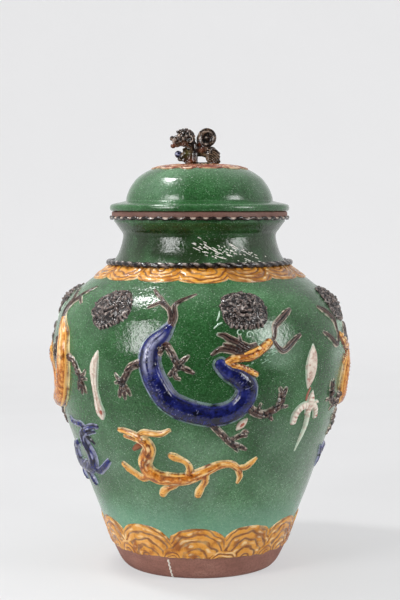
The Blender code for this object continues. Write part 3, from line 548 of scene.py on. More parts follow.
# The lion's pale crest tone is a painted highlight on its ridges
lion_glaze = relief_glaze("lion_glaze", [
    (9, 6, 4), (34, 21, 14), (146, 118, 96), (212, 192, 178), (112, 56, 32), (92, 90, 40),
], crests=(0.60, 1.25), rough=0.06)
white = relief_glaze("white_glaze", [
    (176, 142, 128), (206, 190, 174), (222, 214, 200), (186, 214, 190), (158, 84, 66), (172, 206, 182),
], rough=0.2)
band_glaze = relief_glaze("band_glaze", [
    (150, 84, 16), (206, 140, 44), (224, 174, 88), (230, 208, 160), (112, 60, 22), (210, 206, 160),
], grain=90, crests=(0.60, 1.40), patch=(214, 154, 76))
lid_band_glaze = relief_glaze("lid_band_glaze", [
    (104, 40, 20), (146, 70, 40), (206, 172, 138), (222, 200, 172), (76, 38, 28), (226, 214, 172),
], rough=0.14, grain=90, patch=(198, 170, 134))
white_slip = relief_glaze("white_slip", [
    (196, 186, 176), (220, 214, 204), (234, 230, 222), (236, 234, 226), (190, 176, 164), (222, 220, 208),
], rough=0.25)
pale_glaze = relief_glaze("pale_glaze", [
    (104, 146, 118), (146, 180, 154), (182, 206, 186), (196, 214, 196), (90, 130, 100), (110, 150, 120),
], rough=0.14)

# The turned walls: radius and height of the places where the outline turns, and the runs between them
FOOT, BELLY, ROOT, WAIST, COLLAR = (99, 0), (194.5, 291), (118, 400), (101.5, 438), (113.5, 457)
LIP_RADIUS, MOUTH_RADIUS, MOUTH = 116.5, 102, 470
RUNS = [
    (FOOT, BELLY, [(0, 0), (0.088, 0.036), (0.225, 0.135), (0.345, 0.245), (0.50, 0.378), (0.665, 0.53),
                   (0.83, 0.688), (0.945, 0.85), (1, 1)]),
    (BELLY, ROOT, [(0, 0), (0.035, 0.2), (0.14, 0.445), (0.33, 0.635), (0.55, 0.765), (0.78, 0.885),
                   (1, 1)]),
    (ROOT, WAIST, [(0, 0), (0.47, 0.25), (0.77, 0.54), (1, 1)]),
    (WAIST, COLLAR, [(0, 0), (0.40, 0.48), (1, 1)]),
]
knots = [FOOT]
for (r0, z0), (r1, z1), shares in RUNS:
    knots += [(r0 + (r1 - r0) * out, z0 + (z1 - z0) * up) for out, up in shares[1:]]
outer = smooth_line(knots, 1.6)
vessel = Turned(outer)

# The lid: its seat over the mouth, its flange, and the dome on that
SEAT, FLANGE_HEIGHT, FLANGE_WIDTH = MOUTH + 0.3, 13.5, 21.5
DOME_RADIUS, DOME_HEIGHT, DOME_FOOT = 97.5, 48, SEAT + FLANGE_HEIGHT
DOME = [(1, 0), (0.985, 0.16), (0.925, 0.42), (0.82, 0.67), (0.62, 0.89), (0.33, 0.98), (0, 1)]
dome_line = smooth_line([(DOME_RADIUS * out, DOME_FOOT + DOME_HEIGHT * up) for out, up in DOME], 1.6)
dome = Turned(dome_line)
CROWN = DOME_FOOT + DOME_HEIGHT

# The angle of each large dragon, and whether it is mirrored
DRAGONS = [(0, False), (96, True), (188, False), (-80, True)]


def rounded(points, radius):
    """The outline with each inner corner rounded off."""
    points = [np.array(point, float) for point in points]
    made = [points[0]]
    for before, corner, after in zip(points, points[1:], points[2:]):
        back, on = before - corner, after - corner
        cut = min(radius, np.hypot(*back) * 0.45, np.hypot(*on) * 0.45)
        start, end = corner + back / np.hypot(*back) * cut, corner + on / np.hypot(*on) * cut
        for t in (0, 0.25, 0.5, 0.75, 1):
            made.append((1 - t) ** 2 * start + 2 * t * (1 - t) * corner + t * t * end)
    return np.array([*made, points[-1]])


def spun(name, outline, columns, wobble, marks=None):
    """A turned wall from its outline, with the small unevenness of hand work."""
    angle = np.arange(columns) / columns * 2 * np.pi
    r, z = outline[:, :1], outline[:, 1:2]
    x, y = np.sin(angle)[None] * r, -np.cos(angle)[None] * r
    uneven = wobble * (fractal(x / 34, y / 34, z / 34 + 5) + 0.35 * noise(x / 9, y / 9, z / 7 + 9))
    uneven = uneven + wobble * 0.30 * noise(z / 4.2 + 3, 0 * angle[None], np.zeros(1))
    grown = r + uneven * unit(r / 30)
    points = np.stack([np.sin(angle) * grown, -np.cos(angle) * grown, z + 0 * grown], -1).reshape(-1, 3)
    faces = grid_faces(len(outline), columns, True)
    shades = {key: (values + 0 * x).ravel() for key, values in (marks(x, y, z) if marks else {}).items()}
    return mesh_of(name, points * METRE, faces, shades)


# Milky glaze about a dragon's snout, partly a painted sheen where the right softbox reflects on the front
# dragon: degrees across, height, half width and half height, and how much
SNOUT_MILK_AND_SHEEN = [(25.5, 321, 5.0, 10, 0.95), (30, 291, 7, 13, 0.50), (12, 300, 5, 6, 0.30)]


def wall_marks(x, y, z):
    """Where the green turns milky, which is partly painted sheen, where it turns olive, and where it runs in
    pale streaks.
    """
    angle = np.degrees(np.arctan2(x, -y))
    # Paler towards the bottom: partly thinner glaze, partly a painted reflection of the pale floor
    milk_and_sheen = 0.42 * unit((235 - z) / 200) + 0.20 * fractal(x / 60 + 3, y / 60, z / 60)
    for dragon_angle, mirrored in DRAGONS:
        for across, height, wide, tall, much in SNOUT_MILK_AND_SHEEN:
            way = (angle - dragon_angle - (-across if mirrored else across) + 180) % 360 - 180
            milk_and_sheen = milk_and_sheen + much * near(way, z, 0, height, wide, tall)
    neck = unit((z - 398) / 8) * unit((458 - z) / 6)
    olive = neck * unit(0.75 + 0.6 * noise(x / 18, y / 18, z / 12))
    streak = near(angle, z, 10, 421, 16, 15) * neck
    return {"milk_and_sheen": np.clip(milk_and_sheen, 0, 0.85) * (z < ROOT[1]), "olive": olive, "streak": streak}


def lid_marks(x, y, z):
    """The same for the lid, with no olive and no streaks."""
    cloud = fractal(x / 50 + 8, y / 50, z / 50)
    return {"milk_and_sheen": np.clip(0.04 + 0.22 * cloud, 0, 0.4), "olive": 0 * x, "streak": 0 * x}


# The wall's thickness, the floor inside, where the lip begins, and a radius next to the axis
WALL, FLOOR_TOP, LIP_FOOT, AXIS = 8, 12, 462, 0.01
columns, inside_columns = 320, 96
inner = np.stack([outer[:, 0] - vessel.nr * WALL, outer[:, 1] - vessel.nz * WALL], -1)
inner = inner[inner[:, 1] > 20]
lip = rounded([COLLAR, (COLLAR[0], LIP_FOOT), (LIP_RADIUS, LIP_FOOT), (LIP_RADIUS, MOUTH),
               (MOUTH_RADIUS, MOUTH), (MOUTH_RADIUS, LIP_FOOT), inner[-1]], 2.4)
inside = np.vstack([inner[::-1][::3], [[inner[0][0] - WALL, FLOOR_TOP], [AXIS, FLOOR_TOP]]])
outside = np.vstack([[[AXIS, 0.0], [97, 0.0], [98.4, 0.25]], outer[1:], lip[1:]])
add_piece(spun("jar_wall", outside, columns, 0.22, wall_marks), green, "jar", "green_glaze", "jar_body")
add_piece(spun("jar_inside", inside, inside_columns, 0.1), clay, "jar", "green_glaze")

FLANGE = [(0.84, 0), (0.95, 0.05), (1, 0.26), (0.985, 0.48), (0.90, 0.64), (0.66, 0.76), (0.34, 0.86), (0, 1)]
# The ring under the lid that hangs into the mouth
GUIDE_END, GUIDE_INNER, GUIDE_OUTER = 454.3, 91, 98
corners = [(DOME_RADIUS + FLANGE_WIDTH * out, SEAT + FLANGE_HEIGHT * up) for out, up in FLANGE]
flange = smooth_line(corners, 0.9)
under = [(AXIS, CROWN - 7), (60, CROWN - 10), (84, DOME_FOOT + 8), (GUIDE_INNER, SEAT),
         (GUIDE_INNER, GUIDE_END), (GUIDE_OUTER, GUIDE_END), (GUIDE_OUTER, SEAT), tuple(flange[0])]
shell = np.vstack([flange, dome_line[1:-1], [[AXIS, CROWN]]])
add_piece(spun("lid_wall", shell, columns, 0.16, lid_marks), green_lid, "lid", "green_glaze", "lid_shell")
add_piece(spun("lid_inside", rounded(under, 1.4), inside_columns, 0.05), clay, "lid", "green_glaze")


# Coils round the neck and rim
SECTION_POINTS = 14


def coil(name, ring_radius, height, section, columns, shade):
    """A ring whose section changes as it goes round: section(turn, angle) gives its reach and shift."""
    angle = np.arange(columns)[:, None] / columns * 2 * np.pi
    turn = np.arange(SECTION_POINTS)[None, :] / SECTION_POINTS * 2 * np.pi
    reach, shift = section(turn, angle)
    r = ring_radius + reach * np.cos(turn)
    z = height + shift + reach * np.sin(turn)
    points = np.stack([r * np.sin(angle), -r * np.cos(angle), z], -1).reshape(-1, 3) * METRE
    i = np.arange(columns)[:, None] * SECTION_POINTS
    after = (np.arange(columns)[:, None] + 1) % columns * SECTION_POINTS
    j = np.arange(SECTION_POINTS)[None, :]
    k = (j + 1) % SECTION_POINTS
    faces = np.stack([i + j, after + j, after + k, i + k], -1).reshape(-1, 4)
    shades = {key: values + 0 * reach for key, values in shade(turn, angle).items()}
    return mesh_of(name, points, faces, shades)


ROPE_LIFT, TWISTS = 3.6, 24.5
rope_length = vessel.at_height(ROOT[1])
rope_at = vessel.place(np.array(0.0), rope_length, np.array(ROPE_LIFT)) / METRE


def rope_bead(turn, angle):
    """How far out the twisted strands stand at a place on the coil."""
    return np.abs(np.cos(turn + TWISTS * angle + 0.25 * noise(angle * 9, 0 * turn, 3)))


def rope_section(turn, angle):
    bead = rope_bead(turn, angle)
    return 2.55 + 1.35 * bead**0.7 + 0.14 * noise(angle * 60, turn), 0.30 * noise(angle * 9, 0 * turn)


def rope_shade(turn, angle):
    bead = rope_bead(turn, angle)
    # A painted highlight on the upper outer side of each bead, and painted shade in the valleys between
    # strands
    top = bell((turn - 0.9) / 0.45)
    pale = unit((bead - 0.80) / 0.15) * top * unit(0.7 + 0.9 * noise(angle * 40, turn * 2))
    return {"crest": bead * 1.3 - 0.95, "paint": pale, "shade": np.clip(0.5 - bead, 0, 0.5), "rim": 0}


rope = coil("neck_rope_twist", -rope_at[1], rope_at[2], rope_section, 900, rope_shade)
add_piece(rope, mask_glaze, "jar", "aubergine_glaze", "neck_rope")

CRIMPS, FRILL_RADIUS, FRILL_HEIGHT = 40, 115.2, 461.4


def frill_wave(angle):
    """The crimps as a wave that a thumb makes a little uneven."""
    return np.cos(CRIMPS * angle + 0.8 * np.sin(angle * 3) + 0.5 * np.sin(angle * 7))


def frill_section(turn, angle):
    wave = frill_wave(angle)
    out = unit(np.cos(turn))
    return 1.7 + 2.7 * out**2 * (0.86 + 0.14 * wave), 1.5 * wave * out**2


def frill_shade(turn, angle):
    wave = frill_wave(angle)
    top = unit(np.sin(turn) * 2.2) * (np.cos(turn) > 0.1)
    # Pale arcs on the top of the coil where the crimps dip: painted highlights
    highlight_arcs = unit((-wave - 0.1) / 0.5) * top * unit(0.7 + 0.9 * noise(angle * 30, turn + 3))
    return {"crest": wave * 0.35 - 0.25, "paint": highlight_arcs, "shade": 0.35 * unit(wave) * top, "rim": 0}


frill = coil("rim_frill_crimps", FRILL_RADIUS, FRILL_HEIGHT, frill_section, 1056, frill_shade)
add_piece(frill, aubergine, "jar", "aubergine_glaze", "rim_frill")


# Bands of wave scales
class Band(Relief):
    """A relief of combed wave scales that runs all the way round, measured along a reference radius."""

    def __init__(self, bottom, top, reference, step):
        half = math.pi * reference
        super().__init__(-half, half, bottom, top, step)
        self.reference = reference
        self.degree = math.radians(reference)

    def fill(self, cusps, tops, sags, arcs, seed, hanging=False, lower=()):
        """Fills the band with rounded scales of arcs, one from each cusp to the next, over a lower row."""
        x, y = self.x, (-self.y if hanging else self.y)
        around = 360 * self.degree
        lefts = [cusp * self.degree for cusp in cusps]
        rights = [*lefts[1:], lefts[0] + around]
        height, phase = np.full(x.shape, -6.0), np.zeros(x.shape)
        warp_x = 1.3 * noise(x / 7, y / 7, seed)
        warp_y = 1.1 * noise(x / 8 + 31, y / 6, seed)
        wander = 0.30 * noise(x / 11, y / 9, seed + 2) + 0.07 * noise(x / 3.5, y / 3.5, seed + 5)
        for left, right, top, low_left, low_right in zip(lefts, rights, tops, sags, [*sags[1:], sags[0]]):
            middle, half = (left + right) / 2, (right - left) / 2
            for turn in (-around, 0, around):
                u = (x + warp_x - middle - turn) / (half * 1.04)
                sides = np.where(u < 0, low_left, low_right)
                rise = sides + (top - sides) * np.sqrt(unit(1 - u * u))
                v = (y + warp_y) / rise
                reach = np.sqrt(np.clip(0.55 * u * u + np.clip(v, 0, 3) ** 2, 0, 9))
                here = np.where(np.abs(u) <= 1, np.clip((rise - y) * 1.4, -4, 1.1), -6)
                phase = np.where(here > height, arcs * reach + wander, phase)
                height = np.maximum(height, here)
        for left, right, top in lower:
            middle, half = (left + right) / 2, (right - left) / 2
            for turn in (-around, 0, around):
                u = (x + warp_x - middle - turn) / half
                reach = np.sqrt(u * u + ((y + warp_y + 4) / (top + 4)) ** 2)
                here = np.where(reach < 1, np.minimum((1 - reach) * 14 + 0.4, 1.35), -6)
                phase = np.where(here > height, arcs * 0.8 * reach + wander, phase)
                height = np.maximum(height, here)
        ripple = np.cos(2 * np.pi * phase)
        self.ridges, self.grooves = unit((ripple - 0.3) / 0.5), unit((-ripple - 0.35) / 0.4)
        lump = 0.35 * unit(ripple) - 0.50 * self.grooves + 0.20 * noise(x / 4, y / 4, seed)
        self.h = height + lump * (height > 0.6)

    def tone(self, seed, pale, dark):
        """Broken pale strokes on the ridges and brown ones in the grooves."""
        x, y = self.x, self.y
        self.paint = pale * self.ridges * unit(-0.3 + 1.7 * noise(x / 11, y / 4, seed))
        self.shade = dark * self.grooves * unit(0.85 + 0.7 * noise(x / 16, y / 7, seed + 4))

    def close(self, name, surface, centre, skin, body, node):
        """Lays the band all the way round, its two ends at the back meeting."""
        for grid in (self.h, self.paint, self.shade):
            grid[:, -1] = grid[:, 0]
        mesh = self.lay(name, surface, centre, self.reference, 0, reach=2.0)
        add_piece(mesh, skin, body, "amber_glaze", node)


FOOT_BAND_HEIGHT, LID_BAND_RADIUS = 30, 40
FOOT_CUSPS = [-170, -139, -109, -79, -50, -17.6, 14.3, 44, 75, 106, 137, 164]
FOOT_TOPS = [45, 46, 45, 46, 46, 45.5, 46, 47, 46, 45, 46, 45]
FOOT_SAGS = [24, 26, 25, 24, 27, 22, 25, 30, 27, 25, 26, 24]
foot_band = Band(-5, 56, 119.0, 0.8)
lower_scales = []
for i, cusp in enumerate(FOOT_CUSPS):
    at = cusp * foot_band.degree
    left, right = at - 17 + 4 * math.sin(3 * i), at + 20 + 4 * math.cos(2 * i)
    lower_scales.append((left, right, 17 + 3 * math.sin(5 * i)))
foot_band.fill(FOOT_CUSPS, FOOT_TOPS, FOOT_SAGS, 4.4, 4, lower=lower_scales)
ragged = 1.8 * noise(foot_band.x / 15, 0 * foot_band.x, 3) + 0.9 * noise(foot_band.x / 4, 0 * foot_band.x, 5)
foot_band.h = np.minimum(foot_band.h, (foot_band.y - ragged) * 1.1)
foot_band.tone(14, 0.75, 0.80)
foot_band.close("foot_waves", vessel, vessel.at_height(FOOT_BAND_HEIGHT), band_glaze, "jar", "foot_wave_band")

SHOULDER_CUSPS = [-165, -139, -113, -87, -60, -35, -11, 15.5, 42, 68, 94, 119, 145, 170]
SHOULDER_DROPS = [26, 27, 25, 27, 26, 26, 28, 27, 24, 26, 27, 26, 25, 27]
SHOULDER_SAGS = [17, 18, 17, 16, 18, 17, 19, 16, 17, 18, 16, 17, 18, 17]
shoulder = Band(-32, 3, 140.0, 0.8)
shoulder.fill(SHOULDER_CUSPS, SHOULDER_DROPS, SHOULDER_SAGS, 3.4, 11, hanging=True)
shoulder.h = np.minimum(shoulder.h, (2.4 - shoulder.y) * 1.5)
shoulder.tone(31, 0.9, 0.85)
# Painted shade: the band darker on its right-hand side, where less light falls
right_painted_shade = unit((np.abs(shoulder.x / shoulder.degree - 46) - 40) / -14)
right_painted_shade = right_painted_shade * unit(0.6 + 0.8 * noise(shoulder.x / 9, shoulder.y / 6, 2))
shoulder.shade = np.maximum(shoulder.shade, 0.6 * right_painted_shade)
shoulder.close("shoulder_waves", vessel, rope_length - 3.0, band_glaze, "jar", "shoulder_scale_band")

LID_SCALES = range(12)
lid_cusps = [-180 + 30 * i + 5 * math.sin(4 * i) for i in LID_SCALES]
lid_drops, lid_sags = [25 + i % 3 for i in LID_SCALES], [18 + i % 2 for i in LID_SCALES]
lid_band = Band(-32, 6, 52.0, 0.7)
lid_band.fill(lid_cusps, lid_drops, lid_sags, 3.2, 21, hanging=True)
ragged = 5.0 + 1.5 * noise(lid_band.x / 8, 0 * lid_band.x, 6)
lid_band.h = np.minimum(lid_band.h, (ragged - lid_band.y) * 1.5)
lid_band.tone(47, 0.95, 0.85)
lid_band.close("lid_waves", dome, dome.at_radius(LID_BAND_RADIUS), lid_band_glaze, "lid", "lid_scale_band")


# Ways to carve a roll: what its surface adds, how pale it is, and how dark its strokes are
def edge_of(n, start, width):
    """How far out towards the sides of a roll, from 0 at the start to 1."""
    return unit((np.abs(n) - start) / width)


def plain_carve(s, n, r, x, y):
    return 0.10 * noise(x / 1.6, y / 1.6, 2), 0.0 * s, 0.0 * s


def snout_carve(s, n, r, x, y):
    """Rough amber clay with brown strokes along it and dark outlines."""
    strokes = unit(noise(s / 6, n * 2.6, 14) * 2.2 - 0.55) * 0.75
    outline = edge_of(n, 0.70, 0.25) * 0.8
    pale = unit(noise(s / 5, n * 3, 5) * 2.4 - 1.1) * 0.8
    return 0.30 * noise(x / 2.2, y / 1.8, 2), pale, np.maximum(strokes, outline)


def strand_carve(s, n, r, x, y):
    """A lobe with a groove down its middle and thin pale edges."""
    groove = -0.26 * r * bell(n / 0.20) + 0.10 * r * bell((np.abs(n) - 0.5) / 0.2)
    pale = edge_of(n, 0.84, 0.12) * unit(0.55 + 0.8 * noise(s / 5, n, 3)) * 0.8
    return groove + 0.14 * noise(x / 1.8, y / 1.8, 7), pale, unit(noise(s / 9, n, 5)) * 0.6


def knobbly_carve(s, n, r, x, y):
    """A gnarled limb with lumps and creases, with small pale spots and pale edges that are partly painted
    highlights.
    """
    lumps = 0.20 * r * np.sin(s / 2.1 + 2.2 * noise(s / 5, n * 0.7, 1)) + 0.42 * noise(x / 2.2, y / 2.2, 5)
    crease = -0.26 * r * bell((n - 0.35 * noise(s / 7, 0 * n, 3)) / 0.15)
    # Pale spots and edges: partly pale glaze, partly painted highlights
    pale = unit(noise(s / 3, n * 2.8, 12) * 3.2 - 1.7) * 0.9
    edge = edge_of(n, 0.84, 0.10) * unit(0.2 + noise(s / 4, n, 6)) * 0.8
    return lumps + crease, np.maximum(pale, edge), unit(noise(x / 5, y / 5, 8) * 1.4) * 0.5


def scale_pattern(u, v):
    """Overlapping rounded scales, one to each unit: the height on each, from 0 to 1."""
    best = np.zeros(u.shape)
    row = np.floor(u)
    for back in (1, 0, -1):
        j = row + back
        shift = 0.5 * (j % 2)
        centre_v = np.round(v - shift) + shift
        d = np.hypot((u - j) * 0.85, v - centre_v)
        best = np.where((d < 0.62) & (best == 0), 0.35 + 0.65 * unit((u - j + 0.6) / 1.2), best)
    return best


def trunk_carve(s, n, r, x, y):
    """A scaled trunk with a thin rim along each edge and a row of knobs down its back."""
    rim = 0.34 * bell((np.abs(n) - 0.92) / 0.05) - 0.34 * bell((np.abs(n) - 0.80) / 0.06)
    scales = scale_pattern(s / 4.2, n * r / 3.4)
    field = unit((0.74 - np.abs(n)) / 0.1) * unit((s - 34) / 16)
    knob = np.exp(-(((s % 6.2) - 3.1) ** 2 + (n * r - 1) ** 2 * 1.3) / 1.5) * unit((s - 30) / 10)
    lines = 0.28 * np.cos(n * 9.5) * unit((42 - s) / 16) * (np.abs(n) < 0.75)
    dash = 0.7 * unit(noise(s / 1.1, n * r / 3.4, 9) * 3.6 - 2.35) * field
    dash = dash * (noise(s / 26, 0 * n, 2) > -0.05)
    # A whitish-lilac band down the tail end, split by a dark stripe: a painted sheen
    tail = unit((70 - s) / 12) * unit((s - 8) / 8) * np.exp(-(((n - 0.02) / 0.46) ** 4))
    streak = unit(0.85 + 0.5 * noise(s / 22, n * 5, 4) - 1.3 * bell((n + 0.04) / 0.12))
    edge = edge_of(n, 0.91, 0.05) * unit(0.35 + 0.7 * noise(s / 14, n, 6)) * 0.6
    pale = np.maximum(np.maximum(edge, tail * streak), np.maximum(dash, 0.5 * knob * dash))
    return rim + 0.30 * scales * field + 0.55 * knob + lines + 0.15 * noise(x / 3, y / 3, 3), pale, 0.0 * s


def small_carve(s, n, r, x, y):
    """A slim body with long red-brown strokes and pale lines along it."""
    wave = n * 7 + 1.6 * noise(s / 10, n * 2, 4)
    strokes = unit(noise(s / 9, n * 3.2, 21) * 2.4 - 0.65) * 0.85
    pale = unit(noise(s / 8, n * 3.6, 8) * 2.2 - 0.75) * 0.7
    edge = edge_of(n, 0.84, 0.1) * unit(0.5 + noise(s / 8, n, 3))
    return 0.26 * np.cos(wave) + 0.25 * noise(s / 3, n * 2, 6), np.maximum(pale, edge * 0.8), strokes


def paw_carve(s, n, r, x, y):
    """A blocky limb with a red-brown middle and a pale outline."""
    middle = bell(n / 0.45) * unit(0.55 + 0.9 * noise(s / 6, n, 5))
    edge = edge_of(n, 0.72, 0.16) * 0.8
    return 0.25 * noise(x / 2, y / 2, 6) - 0.25 * middle, edge, middle * 0.85


def flute_carve(s, n, r, x, y):
    """Long soft flutes, with pinkish strokes in them."""
    flutes = 0.30 * np.cos(n * 7 + 1.4 * noise(s / 12, n, 4)) * (np.abs(n) < 0.9)
    stroke = unit(noise(s / 2.6, n * 3.4, 14) * 2.6 - 1.2) * (np.abs(n) < 0.78)
    edge = edge_of(n, 0.88, 0.1) * 0.8
    return flutes - 0.25 * stroke + 0.15 * noise(x / 3, y / 3, 2), edge, stroke * 0.55


def ringed_carve(s, n, r, x, y):
    """Rings across the roll, with brown strokes between them."""
    rings = np.cos(s * 1.25 + 1.2 * noise(s / 6, n, 3))
    stroke = unit(-rings - 0.35) * (np.abs(n) < 0.72) * unit(0.4 + noise(x / 3, y / 3, 17))
    return 0.22 * rings * (np.abs(n) < 0.8), edge_of(n, 0.84, 0.1) * 0.8, stroke * 0.8


def pale_carve(s, n, r, x, y):
    return 0.12 * noise(x / 2, y / 2, 9), 0.6 + 0.0 * s, 0.0 * s


# Large dragons
TRUNK = [
    (-36, 59, 4), (-44, 48, 7.5), (-56, 35, 10.5), (-60, 18, 12), (-57, 0, 13), (-51, -14, 13.5),
    (-39, -33, 13.5), (-20, -44, 13.5), (1, -50, 13), (20, -52, 12.5), (42, -46, 12.5), (55, -33, 12.5),
    (58, -18, 12), (49, -6, 11), (35, 2, 9), (25, 12, 7),
]
trunk = Relief(-80, 80, -72, 72, 0.6)
trunk.roll(TRUNK, height=0.74, power=0.46, carve=trunk_carve)

head = Relief(5, 100, -14, 62, 0.5)
head.roll([(33, 13.5, 4.8), (42, 18, 5.3), (51, 19.6, 5.2), (60, 20.5, 4.9), (68, 23.5, 4.6), (75, 28, 4.5),
           (82, 33, 4.6), (87, 37, 4.4)], 0.85, carve=snout_carve, blend=1.0)
head.roll([(35, 12, 4.2), (42, 9.5, 4.5), (50, 7, 4.1), (60, 3, 3.5), (69, -1.5, 2.8)], 0.85,
          carve=snout_carve)
head.roll([(54, 24, 1.8), (62, 26.5, 2.2), (71, 30.5, 1.8)], 0.8, base=2.0, carve=plain_carve)
head.dome(72, 30.2, 2.4, 1.8, 1.5, base=3.4, paint=0.9, turn=0.6)
head.dome(83.5, 36, 2.7, 2.3, 2.2, base=3.2, paint=0.55)
head.dome(86.6, 34.0, 1.0, 1.0, -1.0, base=4.0, shade=0.8)
head.dome(46, 20.5, 2.0, 1.6, 1.2, base=3.6, paint=0.4)
head.groove([(43, 13.4), (50, 13.2), (58, 12.6), (66, 10)], 2.2, 1.0)
head.groove([(54, 17.4), (63, 18.6), (71, 22.6), (78, 28.6)], 0.8, 0.8)
for step in range(5):
    head.dome(47 + step * 4.2, 11.2 - step * 1.8, 0.8, 1.1, 0.8, base=2.2, paint=0.5)

mane = Relief(2, 142, 10, 86, 0.5)
for strand in (
    [(58, 30, 2.8), (52, 33, 3.4), (46, 38, 4.0), (36, 43, 4.2), (30, 47, 3.2), (23, 48.5, 1.6)],
    [(56, 25, 3.0), (46, 26, 3.6), (38, 29, 3.8), (29, 30.5, 3.4), (22, 29, 2.6), (15, 24, 1.3)],
    [(52, 31, 3.0), (50, 38, 2.2), (49, 46, 1.0)],
    [(48, 29, 3.0), (38, 33, 3.0), (30, 36, 1.8)],
    [(68, 35, 2.2), (60, 33, 2.8), (52, 36, 3.0), (45, 33, 2.4)],
    [(86, 38, 2.0), (94, 42, 2.2), (96, 49, 2.7), (98, 57, 3.4), (107, 64, 4.1), (119, 72, 3.9),
     (129, 78, 1.8)],
    [(88, 36, 2.0), (94, 37, 2.0), (99, 30, 2.6), (105, 26, 3.2), (113, 30, 3.7), (124, 38, 3.4),
     (135, 44, 1.6)],
):
    mane.roll(strand, 0.9, carve=strand_carve, blend=0.5)

plume = Relief(-76, 2, 56, 120, 0.5)
for strand in (
    [(-36, 60, 3.4), (-36, 70, 3.2), (-39, 79, 3.0), (-45, 86, 2.8), (-53, 96, 2.4), (-63, 105, 2.0),
     (-70, 113, 1.2)],
    [(-44, 84, 2.2), (-54, 90, 2.4), (-61, 87, 2.0), (-69, 83, 1.2)],
    [(-34, 60, 3.2), (-31, 70, 3.2), (-33, 81, 3.0), (-33, 87, 2.8), (-27, 93, 2.5), (-18, 98, 2.1),
     (-5, 105, 1.1)],
):
    plume.roll(strand, 0.95, carve=strand_carve, blend=0.4)

LIMB_SHARE = 0.86


def make_leg(bounds, limb, claws, bumps):
    """A limb with its claws, all a little slimmer than their routes say, and knuckles on them."""
    leg = Relief(*bounds, 0.5)
    leg.roll([(x, y, r * LIMB_SHARE) for x, y, r in limb], 0.95, carve=knobbly_carve, blend=0.9)
    for claw in claws:
        leg.roll([(x, y, r * LIMB_SHARE) for x, y, r in claw], 0.95, carve=knobbly_carve, blend=0.6)
    for x, y, r in bumps:
        leg.dome(x, y, r, r, r * 0.7, base=1.0, paint=0.3)
    return leg


legs = {
    "inner_rear_leg": make_leg(
        (-62, -2, -12, 48),
        [(-50, 26, 6.2), (-45, 32, 5.4), (-40, 35, 4.8), (-34, 27, 4.6), (-28, 16, 4.4), (-24, 9, 4.6)],
        [[(-25, 11, 3.6), (-18, 18, 3.0), (-13, 22, 1.4)], [(-25, 11, 3.6), (-15, 6, 3.4), (-8, 2, 1.8)],
         [(-25, 11, 3.6), (-30, 4, 3.8), (-35, -1, 2.8)], [(-30, 2, 3.2), (-28, -4, 3.0), (-24, -6, 1.6)]],
        [(-27, 14, 3.0)],
    ),
    "outer_rear_leg": make_leg(
        (-115, -50, -40, 26),
        [(-60, 14, 6.4), (-68, 13, 5.6), (-76, 11, 5.2), (-86, 6, 4.8), (-92, -4, 4.6), (-97, -13, 4.8)],
        [[(-96, -11, 3.6), (-103, -8, 3.0), (-107, -3, 1.4)],
         [(-97, -14, 3.6), (-103, -13, 2.8), (-108, -14, 1.4)],
         [(-97, -14, 3.6), (-101, -24, 3.6), (-104, -31, 1.8)],
         [(-97, -14, 3.8), (-96, -24, 3.6), (-96, -33, 1.8)],
         [(-97, -14, 3.4), (-92, -21, 3.4), (-88, -28, 1.8)]],
        [(-90, 1, 3.0)],
    ),
    "front_leg": make_leg(
        (52, 124, -70, -10),
        [(60, -40, 6.0), (66, -46, 5.8), (74, -51, 5.6), (84, -53, 5.6), (93, -50, 5.0), (102, -46, 5.0),
         (106, -40, 5.4), (108, -32, 5.4)],
        [[(106, -36, 4.4), (110, -28, 4.4), (113, -22, 2.4)],
         [(107, -32, 4.0), (106, -26, 3.6), (104, -21, 1.8)],
         [(105, -44, 3.4), (112, -45, 2.8), (118, -45, 1.2)],
         [(90, -52, 3.2), (94, -57, 2.8), (97, -61, 1.2)],
         [(74, -50, 3.2), (76, -44, 2.6), (78, -39, 1.2)]],
        [(104, -44, 3.2)],
    ),
    "lower_leg": make_leg(
        (4, 74, -108, -50),
        [(12, -56, 5.6), (17, -64, 5.0), (26, -74, 4.6), (36, -84, 4.8), (46, -92, 4.8)],
        [[(40, -87, 3.6), (49, -82, 3.6), (57, -79, 3.6), (62, -80, 2.2)],
         [(56, -78, 3.0), (60, -74, 2.4), (64, -76, 1.2)],
         [(46, -91, 4.0), (56, -95, 3.4), (64, -99, 1.8)],
         [(42, -90, 3.6), (48, -96, 2.8), (53, -101, 1.4)]],
        [(36, -83, 3.0)],
    ),
}

# Lines combed into the pale slip by a dragon's head, and the strokes by its mask
COMBED = {"height": 0.5, "base": 0.1, "blend": 0.1}
SWIRLS = [(50, 50, 5.0, 0.4), (58, 58, 5.5, 1.6), (66, 62, 5.0, 2.6), (62, 47, 5.2, 0.0), (72, 55, 4.6, 3.4)]
combed = Relief(8, 112, 8, 92, 0.5)
for x, y, size, start in SWIRLS:
    curl = []
    for step in range(14):
        turn, reach = start + step * 0.38, size * (1 - step * 0.05)
        curl.append((x + reach * math.cos(turn), y + reach * math.sin(turn), 0.6))
    combed.roll(curl, carve=pale_carve, **COMBED)
for step in range(22):
    x, y = 66 + 14 * math.sin(2.4 * step) + 0.9 * step, 12 + 6 * math.cos(1.7 * step) + 0.75 * step
    long = 1.6 + 1.2 * math.sin(3.7 * step)
    combed.roll([(x, y, 0.4), (x + long, y + long * 0.8, 0.6), (x + 2 * long, y + long, 0.4)], **COMBED)
for stroke in ([(17.7, 56, 0.5), (23, 60.5, 1.1), (28, 63, 0.6)],
               [(22, 66, 0.6), (25, 72, 1.1), (26, 78, 0.5)]):
    combed.roll(stroke, carve=pale_carve, **COMBED)

